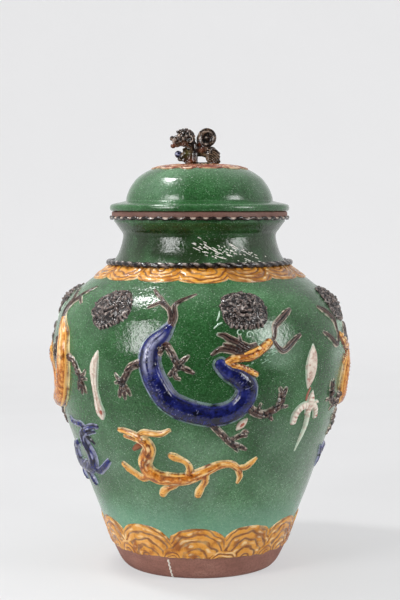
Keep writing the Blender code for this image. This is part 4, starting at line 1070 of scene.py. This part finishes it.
DRAGON_HEIGHT, DRAGON_REFERENCE = 275, 190.0
dragon_pieces = {"trunk": trunk, "head": head, "mane": mane, "tail_plume": plume, **legs}
for number, (angle, mirrored) in enumerate(DRAGONS, start=1):
    place = (vessel, vessel.at_height(DRAGON_HEIGHT), DRAGON_REFERENCE, angle, mirrored)
    trunk_skin = (amber, "amber_glaze") if mirrored else (blue, "blue_glaze")
    skins = {"trunk": trunk_skin, "head": (amber, "amber_glaze")}
    for key, relief in dragon_pieces.items():
        skin, slot = skins.get(key, (aubergine, "aubergine_glaze"))
        node = "head" if key == "mane" else key
        reach, skirt = (1.2, 4.0) if key == "trunk" else (2.2, 1.6)
        mesh = relief.lay(f"dragon_{number}_{key}_relief", *place, reach=reach, skirt=skirt)
        add_piece(mesh, skin, "jar", slot, f"dragon_{number}_{node}")
    add_piece(combed.lay(f"combed_slip_{number}", *place), pale_glaze, "jar", "green_glaze")

# Small dragons
small = Relief(-90, 92, -54, 58, 0.5)
small.roll(
    [(-53, 36, 6.2), (-46, 31, 7.0), (-43, 22, 7.6), (-47, 12, 8.2), (-51, 2, 8.8), (-48, -9, 9.2),
     (-36, -17, 9.2), (-18, -19, 8.6), (0, -18, 8.0), (15, -12, 7.2), (28, -5, 6.2), (42, 1.5, 5.2),
     (55, 2, 4.4), (63, -3, 3.8), (68, -9, 3.2)],
    0.72, carve=small_carve,
)
small.roll([(-48, 34, 6.2), (-56, 38, 5.0), (-64, 42, 4.2), (-72, 44.5, 3.4), (-78, 45, 2.6)], 0.85,
           carve=small_carve)
small.roll([(-56, 34, 3.6), (-64, 36, 2.8), (-72, 37.5, 2.0)], 0.8, carve=paw_carve)
small.roll([(-52, 41, 3.4), (-46, 44, 4.0), (-36, 43.5, 3.8), (-26, 44, 3.2), (-17, 49, 1.8)], 0.9,
           carve=small_carve)
small.roll([(-52, 28, 2.6), (-58, 24, 3.0), (-63, 20, 1.4)], 0.8, shade=0.9)
small.roll([(66, -4, 3.0), (75, -3, 3.6), (82, 3, 3.2), (87, 8, 1.6)], 0.9, carve=paw_carve)
small.roll([(66, -8, 3.2), (69, -16, 3.0), (67, -24, 1.4)], 0.9, carve=paw_carve)
for limb in (
    [(-46, -14, 6.0), (-57, -20, 4.8), (-67, -15, 4.2), (-76, -9, 4.4), (-83, -3, 3.4)],
    [(-12, -22, 5.6), (-16, -28, 4.2), (-24, -32, 4.0), (-30, -36, 5.2), (-33, -41, 4.4)],
    [(24, -12, 5.2), (24, -22, 4.2), (20, -29, 3.8), (17, -35, 5.0), (15, -41, 4.2)],
    [(3, -14, 5.0), (5, -4, 4.0), (2, 4, 3.6), (-5, 9, 3.8), (-12, 12, 5.2), (-16, 14, 4.4)],
):
    small.roll([(x, y, r * 0.92) for x, y, r in limb], 0.95, carve=paw_carve, blend=1.0)
small.dome(-61, 39.8, 1.9, 1.5, 1.6, base=2.8, shade=0.9)
small.dome(-60, 40.6, 0.9, 0.8, 0.6, base=4.2, paint=0.9)
small.groove([(-58, 36.5), (-66, 39.0), (-74, 40.6)], 1.6, 0.8)
for x, y in ((-83, -3), (-33, -41), (15, -41), (-15, 14)):
    small.groove([(x - 3, y + 1), (x + 3, y + 1)], 0.8, 0.5)

SMALL_HEIGHT, SMALL_REFERENCE, SMALL_TURN = 158, 162.0, 6
small_centre = vessel.at_height(SMALL_HEIGHT)
for number, (angle, mirrored) in enumerate(DRAGONS, start=1):
    angle = angle + (SMALL_TURN if mirrored else -SMALL_TURN)
    name = f"small_dragon_{number}_relief"
    mesh = small.lay(name, vessel, small_centre, SMALL_REFERENCE, angle, mirrored, skirt=1.6)
    skin, slot = (blue, "blue_glaze") if mirrored else (amber, "amber_glaze")
    add_piece(mesh, skin, "jar", slot, f"small_dragon_{number}")

# Lion masks, each with its angle and tilt in degrees
FACE_WIDTH, FACE_TALL, MANE_WIDTH, MANE_TALL, CURL_GAP, SWELL = 10.5, 11.5, 29.0, 26.0, 5.1, 4.6
MASKS = [(-98, 12), (-38, 25), (18, 0), (77, -10), (138, 8), (200, -14)]


def make_mask():
    """A small rough lion's face in a squarish mane of tight curls."""
    mask = Relief(-34, 34, -32, 32, 0.45)
    d = (np.abs(mask.x / MANE_WIDTH) ** 3 + np.abs(mask.y / MANE_TALL) ** 3) ** (1 / 3)
    mask.h = np.where(d < 1, 1.0 + SWELL * (1 - d * d), NO_CLAY)
    for row in range(-5, 6):
        for column in range(-6, 7):
            x = (column + 0.5 * (row % 2)) * CURL_GAP * 1.04 + 1.5 * math.sin(7 * row + 3 * column)
            y = row * CURL_GAP + 1.5 * math.sin(5 * column + 2 * row)
            far = (abs(x / MANE_WIDTH) ** 3 + abs(y / MANE_TALL) ** 3) ** (1 / 3)
            if far > 0.97 or math.hypot(x / FACE_WIDTH, (y + 2) / FACE_TALL) < 0.85:
                continue
            own = 2.8 + 0.6 * math.sin(3.1 * column + 1.7 * row)
            mask.dome(x, y, own, own * 0.94, 2.6, base=0.3 + SWELL * (1 - far * far), power=0.6, blend=0.2)
            swirl = []
            for k in range(8):
                turn, reach = row + column + k * 0.8, own * 0.72 * k / 8
                swirl.append((x + reach * math.cos(turn), y + reach * math.sin(turn)))
            mask.groove(swirl, 1.5, 0.5)
    mask.dome(0, -2, 10.5, 11.0, 3.2, base=4.6, power=0.5, blend=1.5)
    for side in (-1, 1):
        mask.dome(side * 4.6, 2.6, 3.0, 2.4, 2.0, base=6.6)
        mask.dome(side * 4.6, 2.6, 1.5, 1.3, 1.0, base=8.4, shade=0.9)
        mask.groove([(side * 1.6, 4.4), (side * 4.6, 5.6), (side * 7.4, 4.2)], 1.4, 0.7)
        mask.roll([(side * 1.6, 6.8, 1.3), (side * 5, 8.2, 1.8), (side * 8.8, 6.2, 1.2)], 0.9, base=6.4)
        mask.dome(side * 3.8, -5.0, 3.8, 3.0, 2.4, base=6.4)
        mask.groove([(side * 2.2, -3.6), (side * 5.2, -4.2), (side * 7.6, -6.6)], 1.0, 0.6)
        mask.dome(side * 8.6, -2.6, 2.4, 3.4, 2.0, base=5.0)
        mask.dome(side * 3.6, -10.2, 0.9, 1.4, 1.4, base=5.8, paint=0.8)
    mask.dome(0, -1.6, 2.8, 2.4, 2.6, base=7.0)
    mask.groove([(-6.5, -7.6), (-3.2, -8.8), (0, -8.0), (3.2, -8.8), (6.5, -7.6)], 2.4, 1.2)
    mask.roll([(-5.8, -10.8, 1.4), (0, -12.4, 2.0), (5.8, -10.8, 1.4)], 0.9, base=5.0)
    for step in range(8):
        x = -17.5 + 5 * step
        low = -MANE_TALL * (1 - (abs(x) / MANE_WIDTH) ** 3) ** (1 / 3)
        mask.roll([(x * 0.9, low + 9, 2.0), (x, low + 4, 2.3), (x * 1.06, low + 0.5, 1.3)], 0.9, base=1.6,
                  blend=0.3)
    rough = noise(mask.x / 3.4, mask.y / 3.4, 8)
    mask.h = mask.h + np.where(mask.h > 0, 0.8 * rough + 0.12 * noise(mask.x / 1.4, mask.y / 1.4, 3), 0)
    # Painted shade in the dents that the noise makes, and painted glints in small pale spots
    mask.shade = np.maximum(mask.shade, 0.8 * unit(-1.8 * rough - 0.3))
    mask.paint = np.maximum(mask.paint, 0.6 * unit(3.0 * noise(mask.x / 2.4, mask.y / 2.4, 15) - 1.6))
    return mask


mask = make_mask()
MASK_HEIGHT = 352
mask_centre = vessel.at_height(MASK_HEIGHT)
mask_reference = vessel.radius_at(mask_centre)
for number, (angle, tilt) in enumerate(MASKS, start=1):
    name = f"lion_mask_{number}_relief"
    mesh = mask.lay(name, vessel, mask_centre, mask_reference, angle, tilt=tilt, reach=1.1)
    add_piece(mesh, mask_glaze, "jar", "aubergine_glaze", f"lion_mask_{number}")

# Pale sprigs
flame = Relief(-14, 14, -46, 48, 0.5)
flame.roll([(1, -41, 3.4), (1, -34, 6.6), (-1, -26, 5.8), (-2, -16, 4.8), (-3, -4, 4.6), (-2.5, 8, 5.4),
            (-1, 20, 6.2), (1, 29, 5.6), (4, 37, 3.6), (6, 43, 1.2)], 0.72, carve=flute_carve)
flame.roll([(-5, -27, 1.0), (-2, -31, 1.2), (3, -28, 1.0)], 0.8, base=2.4, shade=0.8)
flame.dome(3.8, -33, 2.6, 3.4, 1.3, base=3.0, shade=1.0)
flame.dome(-2.6, -27, 1.6, 1.0, 0.8, base=3.4, shade=0.8)

leaf = Relief(-14, 14, -30, 32, 0.5)
leaf.roll([(-2, -26, 1.4), (-1, -18, 5.4), (0, -8, 8.6), (0, 3, 9.6), (1, 13, 7.4), (2, 21, 3.8),
           (3, 27, 1.0)], 0.42, carve=flute_carve)
leaf.groove([(-1, -24), (0, -8), (1, 8), (3, 25)], 0.5, 0.7)

cloud = Relief(-34, 32, -48, 56, 0.5)
cloud.roll([(2, 40, 1.2), (1, 34, 4.2), (0, 27, 6.6), (-1, 20, 6.2), (-2, 14, 4.4)], 0.7, carve=ringed_carve)
cloud.roll([(-3, 22, 5.2), (-11, 23, 4.8), (-19, 19, 4.8), (-24, 12, 5.0), (-25, 4, 4.6)], 0.8,
           carve=ringed_carve)
cloud.roll([(2, 22, 5.0), (9, 21, 4.6), (14, 15, 4.4), (16, 7, 3.6)], 0.8, carve=ringed_carve)
cloud.roll([(9, 24, 2.6), (13, 26, 2.0), (17, 25, 1.2)], 0.8, carve=ringed_carve)
cloud.roll([(-1, 18, 4.4), (0, 8, 3.8), (0, -4, 3.4), (-3, -17, 2.8), (-6, -29, 1.8), (-8, -38, 0.8)], 0.8,
           carve=pale_carve)
cloud.roll([(-4, 45, 0.9), (-7, 38, 1.1), (-8, 31, 1.2)], 0.8, shade=0.9)
for x, y in ((16, 8), (-1, 16), (-25, 4), (1, 33)):
    cloud.dome(x, y, 1.8, 1.6, 0.6, base=3.0, shade=0.9)

SPRIG_HEIGHT, BUD_HEIGHT, SPRIG_REFERENCE, LOW_REFERENCE, SPRIG_SKIRT = 255, 211.5, 190.0, 180.0, 1.2
sprig_centre = vessel.at_height(SPRIG_HEIGHT)


def add_sprigs(key, relief, centre, reference, angles):
    """Lays the same sprig at each angle."""
    for number, angle in enumerate(angles, start=1):
        mesh = relief.lay(f"{key}_{number}_relief", vessel, centre, reference, angle, skirt=SPRIG_SKIRT)
        add_piece(mesh, white, "jar", "white_glaze", f"{key}_sprig_{number}")


add_sprigs("flame", flame, sprig_centre, SPRIG_REFERENCE, [-42, 142])
add_sprigs("leaf", leaf, sprig_centre + 23, SPRIG_REFERENCE, [46, -126])
add_sprigs("cloud", cloud, sprig_centre - 50, LOW_REFERENCE, [48, -126])

bud = Relief(-12, 12, -12, 12, 0.5)
bud.roll([(-5.6, -6.4, 0.8), (-2.6, -3, 3.2), (0, 0, 4.2), (2.8, 3.2, 3.2), (6, 6.6, 0.8)], 0.5)
bud.roll([(-3, -3.4, 0.6), (0, 0, 2.3), (3.2, 3.6, 0.6)], 0.5, base=1.2, shade=1.0, blend=0.3)
mesh = bud.lay("bud_relief", vessel, vessel.at_height(BUD_HEIGHT), LOW_REFERENCE, 16.5, skirt=SPRIG_SKIRT)
add_piece(mesh, white, "jar", "white_glaze", "flame_bud")

# Short runs of pale glaze down the front of the neck
NECK_RUNS, NECK_HEIGHT, NECK_REFERENCE = 84, 421, 105.0
runs = Relief(-20, 112, -22, 22, 0.35)
run_draws = np.random.default_rng(11)
for _ in range(NECK_RUNS):
    x, offset, long = run_draws.triangular(-16, 18, 104), run_draws.normal(0, 6), run_draws.uniform(0.4, 2.8)
    y = offset - 0.16 * (x - 24)
    line = [(x - long, y + long * 0.4, 0.24), (x, y, 0.34), (x + long, y - long * 0.5, 0.24)]
    runs.roll(line, 0.5, base=0.2, carve=pale_carve, blend=0.05)
mesh = runs.lay("neck_runs", vessel, vessel.at_height(NECK_HEIGHT), NECK_REFERENCE, 0)
add_piece(mesh, white_slip, "jar", "white_glaze")

# A crack in the bare foot, filled with white
crack = Relief(-6, 6, 0, 36, 0.4)
for low, high in ((2, 9), (11, 17), (19, 24.5), (26, 31.5)):
    lean = [(1.0 - 0.02 * y + 0.5 * math.sin(y), y, 0.8) for y in np.linspace(low, high, 5)]
    crack.roll(lean, 0.4, base=0.3, blend=0.1)
add_piece(crack.lay("crack_filling", vessel, 0.0, 100.0, -20.4), white_slip, "jar", "white_glaze")


# The lion on the lid, in millimetres from the dome's crown
def tube(points, sides=12):
    """A closed roll through points of x, y, z and radius, as loose faces for a remesh."""
    rows = smooth_line(points, 1.2)
    made = bmesh.new()
    rings = []
    ahead = np.gradient(rows[:, :3], axis=0)
    for row, way in zip(rows, ahead):
        way = Vector(way).normalized()
        across = way.cross(Vector((0.31, 0.9, 0.2))).normalized()
        up = way.cross(across)
        ring = []
        for side in range(sides):
            turn = 2 * math.pi * side / sides
            spoke = across * math.cos(turn) + up * math.sin(turn)
            ring.append(made.verts.new(Vector(row[:3]) + spoke * row[3]))
        rings.append(ring)
    for one, other in zip(rings, rings[1:]):
        for i in range(sides):
            made.faces.new((one[i - 1], one[i], other[i], other[i - 1]))
    made.faces.new(rings[0])
    made.faces.new(rings[-1][::-1])
    bmesh.ops.recalc_face_normals(made, faces=made.faces)
    return made


def ball(x, y, z, rx, ry, rz, turn=0.0):
    """A rounded lump of three half widths, turned about Y."""
    made = bmesh.new()
    bmesh.ops.create_icosphere(made, subdivisions=3, radius=1)
    place = Matrix.Translation((x, y, z)) @ Matrix.Rotation(turn, 4, "Y")
    bmesh.ops.transform(made, matrix=place @ Matrix.Diagonal((rx, ry, rz, 1)), verts=made.verts)
    return made


def modelled(name, lumps, voxel, smooth):
    """One skin over all the lumps, as if pressed together by hand."""
    whole = bmesh.new()
    for lump in lumps:
        mesh = bpy.data.meshes.new("lump")
        lump.to_mesh(mesh)
        lump.free()
        whole.from_mesh(mesh)
        bpy.data.meshes.remove(mesh)
    mesh = bpy.data.meshes.new("clay")
    whole.to_mesh(mesh)
    whole.free()
    thing = bpy.data.objects.new("clay", mesh)
    bpy.context.scene.collection.objects.link(thing)
    remesh = thing.modifiers.new("skin", "REMESH")
    remesh.mode, remesh.voxel_size = "VOXEL", voxel * 1.0
    soft = thing.modifiers.new("soft", "SMOOTH")
    soft.factor, soft.iterations = 0.5, smooth
    bpy.context.view_layer.update()
    made = bpy.data.meshes.new_from_object(thing.evaluated_get(bpy.context.evaluated_depsgraph_get()))
    bpy.data.objects.remove(thing)
    made.name = name
    return made


def finish_lump(mesh, change, tint):
    """Moves the skin along its normals, notes its tones, and sets it on the crown of the dome, in metres."""
    count = len(mesh.vertices)
    points, normals = np.zeros(count * 3), np.zeros(count * 3)
    mesh.vertices.foreach_get("co", points)
    mesh.vertices.foreach_get("normal", normals)
    points, normals = points.reshape(-1, 3), normals.reshape(-1, 3)
    x, y, z = points.T
    lift = change(x, y, z)
    crest = np.clip(lift * 1.5 + 0.25 * noise(x / 1.5, y / 1.5, z / 1.5), -1, 1)
    paint, shade = tint(x, y, z)
    placed = (points + normals * lift[:, None]) * METRE
    placed[:, 2] += CROWN * METRE
    mesh.vertices.foreach_set("co", placed.astype(np.float32).ravel())
    olive = (y < 0) * near(x, z, -16, 14, 4.5)
    note(mesh, {"crest": crest, "paint": paint, "shade": shade, "rim": olive})
    mesh.update()
    mesh.shade_smooth()
    return mesh


def add_lion_piece(key, lumps, change, tint, skin=lion_glaze, slot="aubergine_glaze", voxel=0.5, smooth=5):
    """One of the lion's pieces, from its lumps."""
    mesh = finish_lump(modelled(f"lion_{key}_form", lumps, voxel, smooth), change, tint)
    add_piece(mesh, skin, "lid", slot, f"lion_{key}")


def body_change(x, y, z):
    """Grooves in arcs over the haunch, and the marks of fingers elsewhere."""
    far = np.hypot(x - 9, z + 2)
    haunch = unit((x - 10) / 3) * unit((z - 1) / 2)
    arcs = 0.55 * haunch * np.cos(2 * np.pi * far / 2.7 + 0.6 * noise(x / 4, y / 4, z / 4))
    return arcs + 0.20 * noise(x / 2, y / 2, z / 2)


def body_tint(x, y, z):
    spots = unit(noise(x / 2, y / 2, z / 2) * 2.0 - 1.1) * (x < 2)
    feet = near(x, z, -12, 3, 6.5) + 0.6 * near(x, z, 3, 19, 4) + 0.5 * near(x, z, 19, 2, 4)
    return 0.7 * spots, np.clip(feet * (0.8 + 0.6 * noise(x / 3, y / 3, z / 3)), 0, 0.9)


body_lumps = [
    tube([(-22, 0, 16, 5.2), (-12, 0, 17, 7.6), (0, 0, 17.5, 7.0), (8, 0, 17.0, 7.8), (15, 0, 14.5, 9.4),
          (18, 0, 12, 9.0)]),
    tube([(-6, 0, 18, 7.0), (-10, 0, 24, 8.0), (-14, 0, 29, 7.4)]),
    tube([(-15, 0, 1.4, 2.0), (0, -3, 1.2, 1.8), (18, 0, 1.4, 2.0)]),
]
for side in (-1, 1):
    body_lumps += [
        tube([(-11, side * 6, 15, 5.6), (-11, side * 6.6, 8, 5.0), (-10.5, side * 6.6, 2.6, 4.8)]),
        ball(-14.0, side * 6.6, 2.2, 5.4, 4.0, 3.2),
        ball(17.6, side * 5.6, 11.0, 9.6, 4.8, 10.6, 0.35),
        ball(21.4, side * 6.0, 5.4, 6.2, 4.0, 6.4),
        ball(17.0, side * 6.6, 1.5, 4.8, 3.4, 2.4),
    ]
body_lumps += [
    tube([(-15, -5.0, 17, 5.0), (-20.5, -5.6, 12, 4.4), (-25.0, -5.0, 8.0, 3.6)]),
    ball(-25.6, -4.6, 7.0, 3.6, 3.2, 3.0),
    tube([(-17, -4.4, 11, 4.6), (-20.6, -4.6, 3.0, 4.4)]),
    tube([(-6, -4.0, 17, 4.2), (-5.4, -5.0, 9, 3.2), (-5.6, -5.2, 2.2, 3.2)]),
    ball(-4, -2, 17, 4.0, 5.6, 3.0),
    ball(-8, 0, 13, 5, 7.2, 4.0),
    tube([(6, 0, 20, 3.6), (7, 0, 25.0, 3.2)]),
]
add_lion_piece("body", body_lumps, body_change, body_tint)

EAR_X, EAR_Z = -13.2, 33.2
head_lumps = [
    ball(-19.6, 0, 34.5, 11.4, 11.0, 11.4), ball(-30.0, 0, 33.5, 6.0, 6.6, 5.2),
    ball(-36.4, 0, 34.6, 2.9, 4.2, 3.4), ball(-35.0, 0, 24.6, 3.6, 4.4, 3.4),
    ball(-29.5, 0, 26.6, 5.0, 5.4, 4.0), ball(-32.8, 0, 29.6, 3.6, 4.6, 3.6),
]
for side in (-1, 1):
    head_lumps += [
        ball(-26.6, side * 7.0, 38.0, 3.4, 2.8, 3.4), ball(-27.2, side * 5.6, 42.4, 3.8, 3.2, 2.2, 0.3),
        ball(-37.6, side * 2.6, 33.4, 1.8, 1.6, 1.8), ball(-31.5, side * 5.2, 32.0, 3.0, 2.4, 2.8),
        ball(EAR_X, side * 10.0, EAR_Z, 4.6, 2.4, 5.0, 0.2),
    ]
GOLDEN_TURN, CURLS = 2.399963, 58
for step in range(CURLS):
    up = 1 - 2 * (step + 0.5) / CURLS
    turn = step * GOLDEN_TURN
    flat = math.sqrt(1 - up * up)
    x, y, z = -19.2 + 11.6 * flat * math.cos(turn), 10.6 * flat * math.sin(turn), 34.8 + 11.0 * up
    if x > -26.5 and z > 25.5 and math.hypot(x - EAR_X, z - EAR_Z) > 4.5:
        head_lumps.append(ball(x, y, z, 2.7, 2.6, 2.5))


def head_change(x, y, z):
    curls = 0.32 * np.sin(x * 1.9 + 2 * noise(x / 3, y / 3, z / 3)) * np.cos(z * 1.7 + y) * (x > -26)
    ear = 0.5 * ring_near(x, z, EAR_X, EAR_Z, 3.9, 0.8) - 1.3 * near(x, z, EAR_X, EAR_Z, 2.4)
    ear = (np.abs(y) > 9.0) * ear
    eye = -0.9 * ring_near(x, z, -27, 38, 2.1, 0.5) * (np.abs(y) > 5)
    mouth = -0.9 * bell((z - 28.4 - 0.1 * (x + 33)) / 0.8) * (x < -30)
    return curls + ear + eye + mouth + 0.12 * noise(x, y, z)


def head_tint(x, y, z):
    eye = near(x, z, -27.2, 38.0, 1.9) * (np.abs(y) > 5)
    lip = near(x, z, -34.5, 31.0, 2.8)
    ear = ring_near(x, z, EAR_X, EAR_Z, 4.2, 0.6) * (np.abs(y) > 8.5) * (x > -13)
    mottle = unit(noise(x / 2.2, y / 2.2, z / 2.2) * 2.2 - 1.0) * 0.75
    warm = 0.9 * near(x, z, -34, 25, 4) + 0.5 * near(x, z, -20, 25, 7)
    paint = unit(mottle + 0.9 * eye + 0.7 * lip + 0.9 * ear)
    return paint, np.clip(warm + 0.3 * noise(x / 4, y / 4, z / 4), 0, 0.9)


add_lion_piece("head", head_lumps, head_change, head_tint, voxel=0.45, smooth=3)

TAIL_X, TAIL_Z = 9.8, 35.6
spiral = []
for step in range(50):
    turn, inward = 1.05 * math.pi + step * 0.20, max(0, step - 28)
    reach = 10.4 - 0.22 * inward
    spiral.append((TAIL_X + reach * math.cos(turn), 0, TAIL_Z + reach * math.sin(turn), 2.5 - 0.05 * inward))
tail_lumps = [
    tube(spiral, 10), ball(TAIL_X, 0, TAIL_Z, 10.6, 1.3, 10.6), ball(TAIL_X, 0, TAIL_Z, 2.0, 3.0, 2.0),
    tube([(2.6, 0, 24, 3.4), (-0.4, 0, 29, 3.4), (-1.2, 0, 35, 3.0), (0.2, 0, 40, 2.0)]),
]


def tail_tint(x, y, z):
    band = ring_near(x, z, TAIL_X, TAIL_Z, 8.6, 0.9) * unit(0.4 + 0.9 * noise(x / 3, y, z / 3))
    # The small pale spot by the boss is a painted highlight
    return 0.9 * band + 0.8 * near(x, z, TAIL_X - 1, TAIL_Z, 1.0), 0.5 * near(x, z, -1, 26, 3)


def tail_change(x, y, z):
    return 0.10 * noise(x, y, z) - 0.15


def ball_change(x, y, z):
    return 0.25 * noise(x / 1.6, y / 1.6, z / 1.6)


def ball_tint(x, y, z):
    return 0.9 * (noise(x / 2.4, y / 2.4, z / 2.4) > 0.0) * (z > 12), 0 * x


add_lion_piece("tail", tail_lumps, tail_change, tail_tint, voxel=0.45, smooth=3)
ball_lumps = [ball(-27.7, 0, 13.4, 5.2, 5.4, 5.0)]
add_lion_piece("ball", ball_lumps, ball_change, ball_tint, blue, "blue_glaze", smooth=1)

# Floor and backdrop, seen a little brighter than they light the jar
floor_paint = Shader("floor_paint")
tones = floor_paint.ramp(floor_paint.noise(3, 2), (0.4, linear(236, 236, 237)), (0.6, linear(240, 240, 241)))
floor_paint.finish(tones, 0.9, floor_paint.bump(floor_paint.noise(40, 2), 0.0002), 0.2)
rays = floor_paint.add("ShaderNodeLightPath").outputs
mirrored_ray = floor_paint.sum("MAXIMUM", rays["Is Glossy Ray"], rays["Is Transmission Ray"])
seen = floor_paint.sum("MAXIMUM", rays["Is Camera Ray"], mirrored_ray)
depth = floor_paint.add("ShaderNodeSeparateXYZ", {"Vector": floor_paint.place}).outputs["Y"]
fade_inputs = {"Value": depth, "From Min": -0.2, "From Max": 2.6, "To Min": 0.70, "To Max": 1.04}
shine = floor_paint.add("ShaderNodeMapRange", fade_inputs).outputs["Result"]
glow = floor_paint.add("ShaderNodeEmission", {"Color": linear(254, 254, 255), "Strength": shine})
parts = {0: floor_paint.times(seen, 0.65), 1: floor_paint.surface.outputs[0], 2: glow.outputs[0]}
both = floor_paint.add("ShaderNodeMixShader", parts)
floor_paint.feed(floor_paint.tree.nodes["Material Output"].inputs["Surface"], both.outputs[0])

# The floor's side view in metres: flat, then bent up to a wall
FLAT_END, BEND, WALL_TOP, HALF_WIDTH, BEND_STEPS = 2.2, 1.2, 4.5, 5.0, 12
sweep = [(-0.5, 0.0), (FLAT_END, 0.0)]
for step in range(1, BEND_STEPS + 1):
    turn = math.pi / 2 * step / BEND_STEPS
    sweep.append((FLAT_END + BEND * math.sin(turn), BEND - BEND * math.cos(turn)))
sweep.append((FLAT_END + BEND, WALL_TOP))
points = np.array([(x, y, z) for y, z in sweep for x in (-HALF_WIDTH, HALF_WIDTH)])
floor_mesh = mesh_of("floor", points, grid_faces(len(sweep), 2, False))
floor_mesh.materials.append(floor_paint.material)
floor = bpy.data.objects.new("floor", floor_mesh)
bpy.context.scene.collection.objects.link(floor)

LAMP_DISTANCE = 1.6


def softbox(name, azimuth, elevation, width, height, power, target=(0, 0, 0.30)):
    """An area lamp at a set distance from its target, turned to it."""
    lamp = bpy.data.lights.new(name, "AREA")
    lamp.shape = "DISK" if width == height else "RECTANGLE"
    lamp.size, lamp.size_y = width, height
    lamp.energy = power
    thing = bpy.data.objects.new(name, lamp)
    across, rise = math.radians(azimuth), math.radians(elevation)
    way = Vector((math.sin(across) * math.cos(rise), -math.cos(across) * math.cos(rise), math.sin(rise)))
    thing.location = Vector(target) + way * LAMP_DISTANCE
    thing.rotation_euler = way.to_track_quat("Z", "Y").to_euler()
    bpy.context.scene.collection.objects.link(thing)


softbox("softbox_left", -43, 19, 0.55, 0.82, 18)
softbox("softbox_right", 57, 19, 0.54, 0.76, 13)
softbox("overhead", -101, 63, 0.26, 0.26, 17, (-0.05, -0.10, 0.45))

# A studio that is dark behind the camera and pale behind the jar
world = bpy.data.worlds.new("studio")
bpy.context.scene.world = world
world.use_nodes = True
sky = Nodes(world.node_tree)
way = sky.add("ShaderNodeSeparateXYZ", {"Vector": sky.coordinates["Generated"]}).outputs["Y"]
fade = sky.range(way, -0.9, 0.3, 0.12, 0.94)
seen = sky.add("ShaderNodeLightPath").outputs["Is Camera Ray"]
background = sky.tree.nodes["Background"].inputs
background["Color"].default_value = linear(242, 242, 243)
sky.feed(background["Strength"], sky.sum("MAXIMUM", fade, seen))

bpy.context.scene.view_settings.view_transform = "Standard"
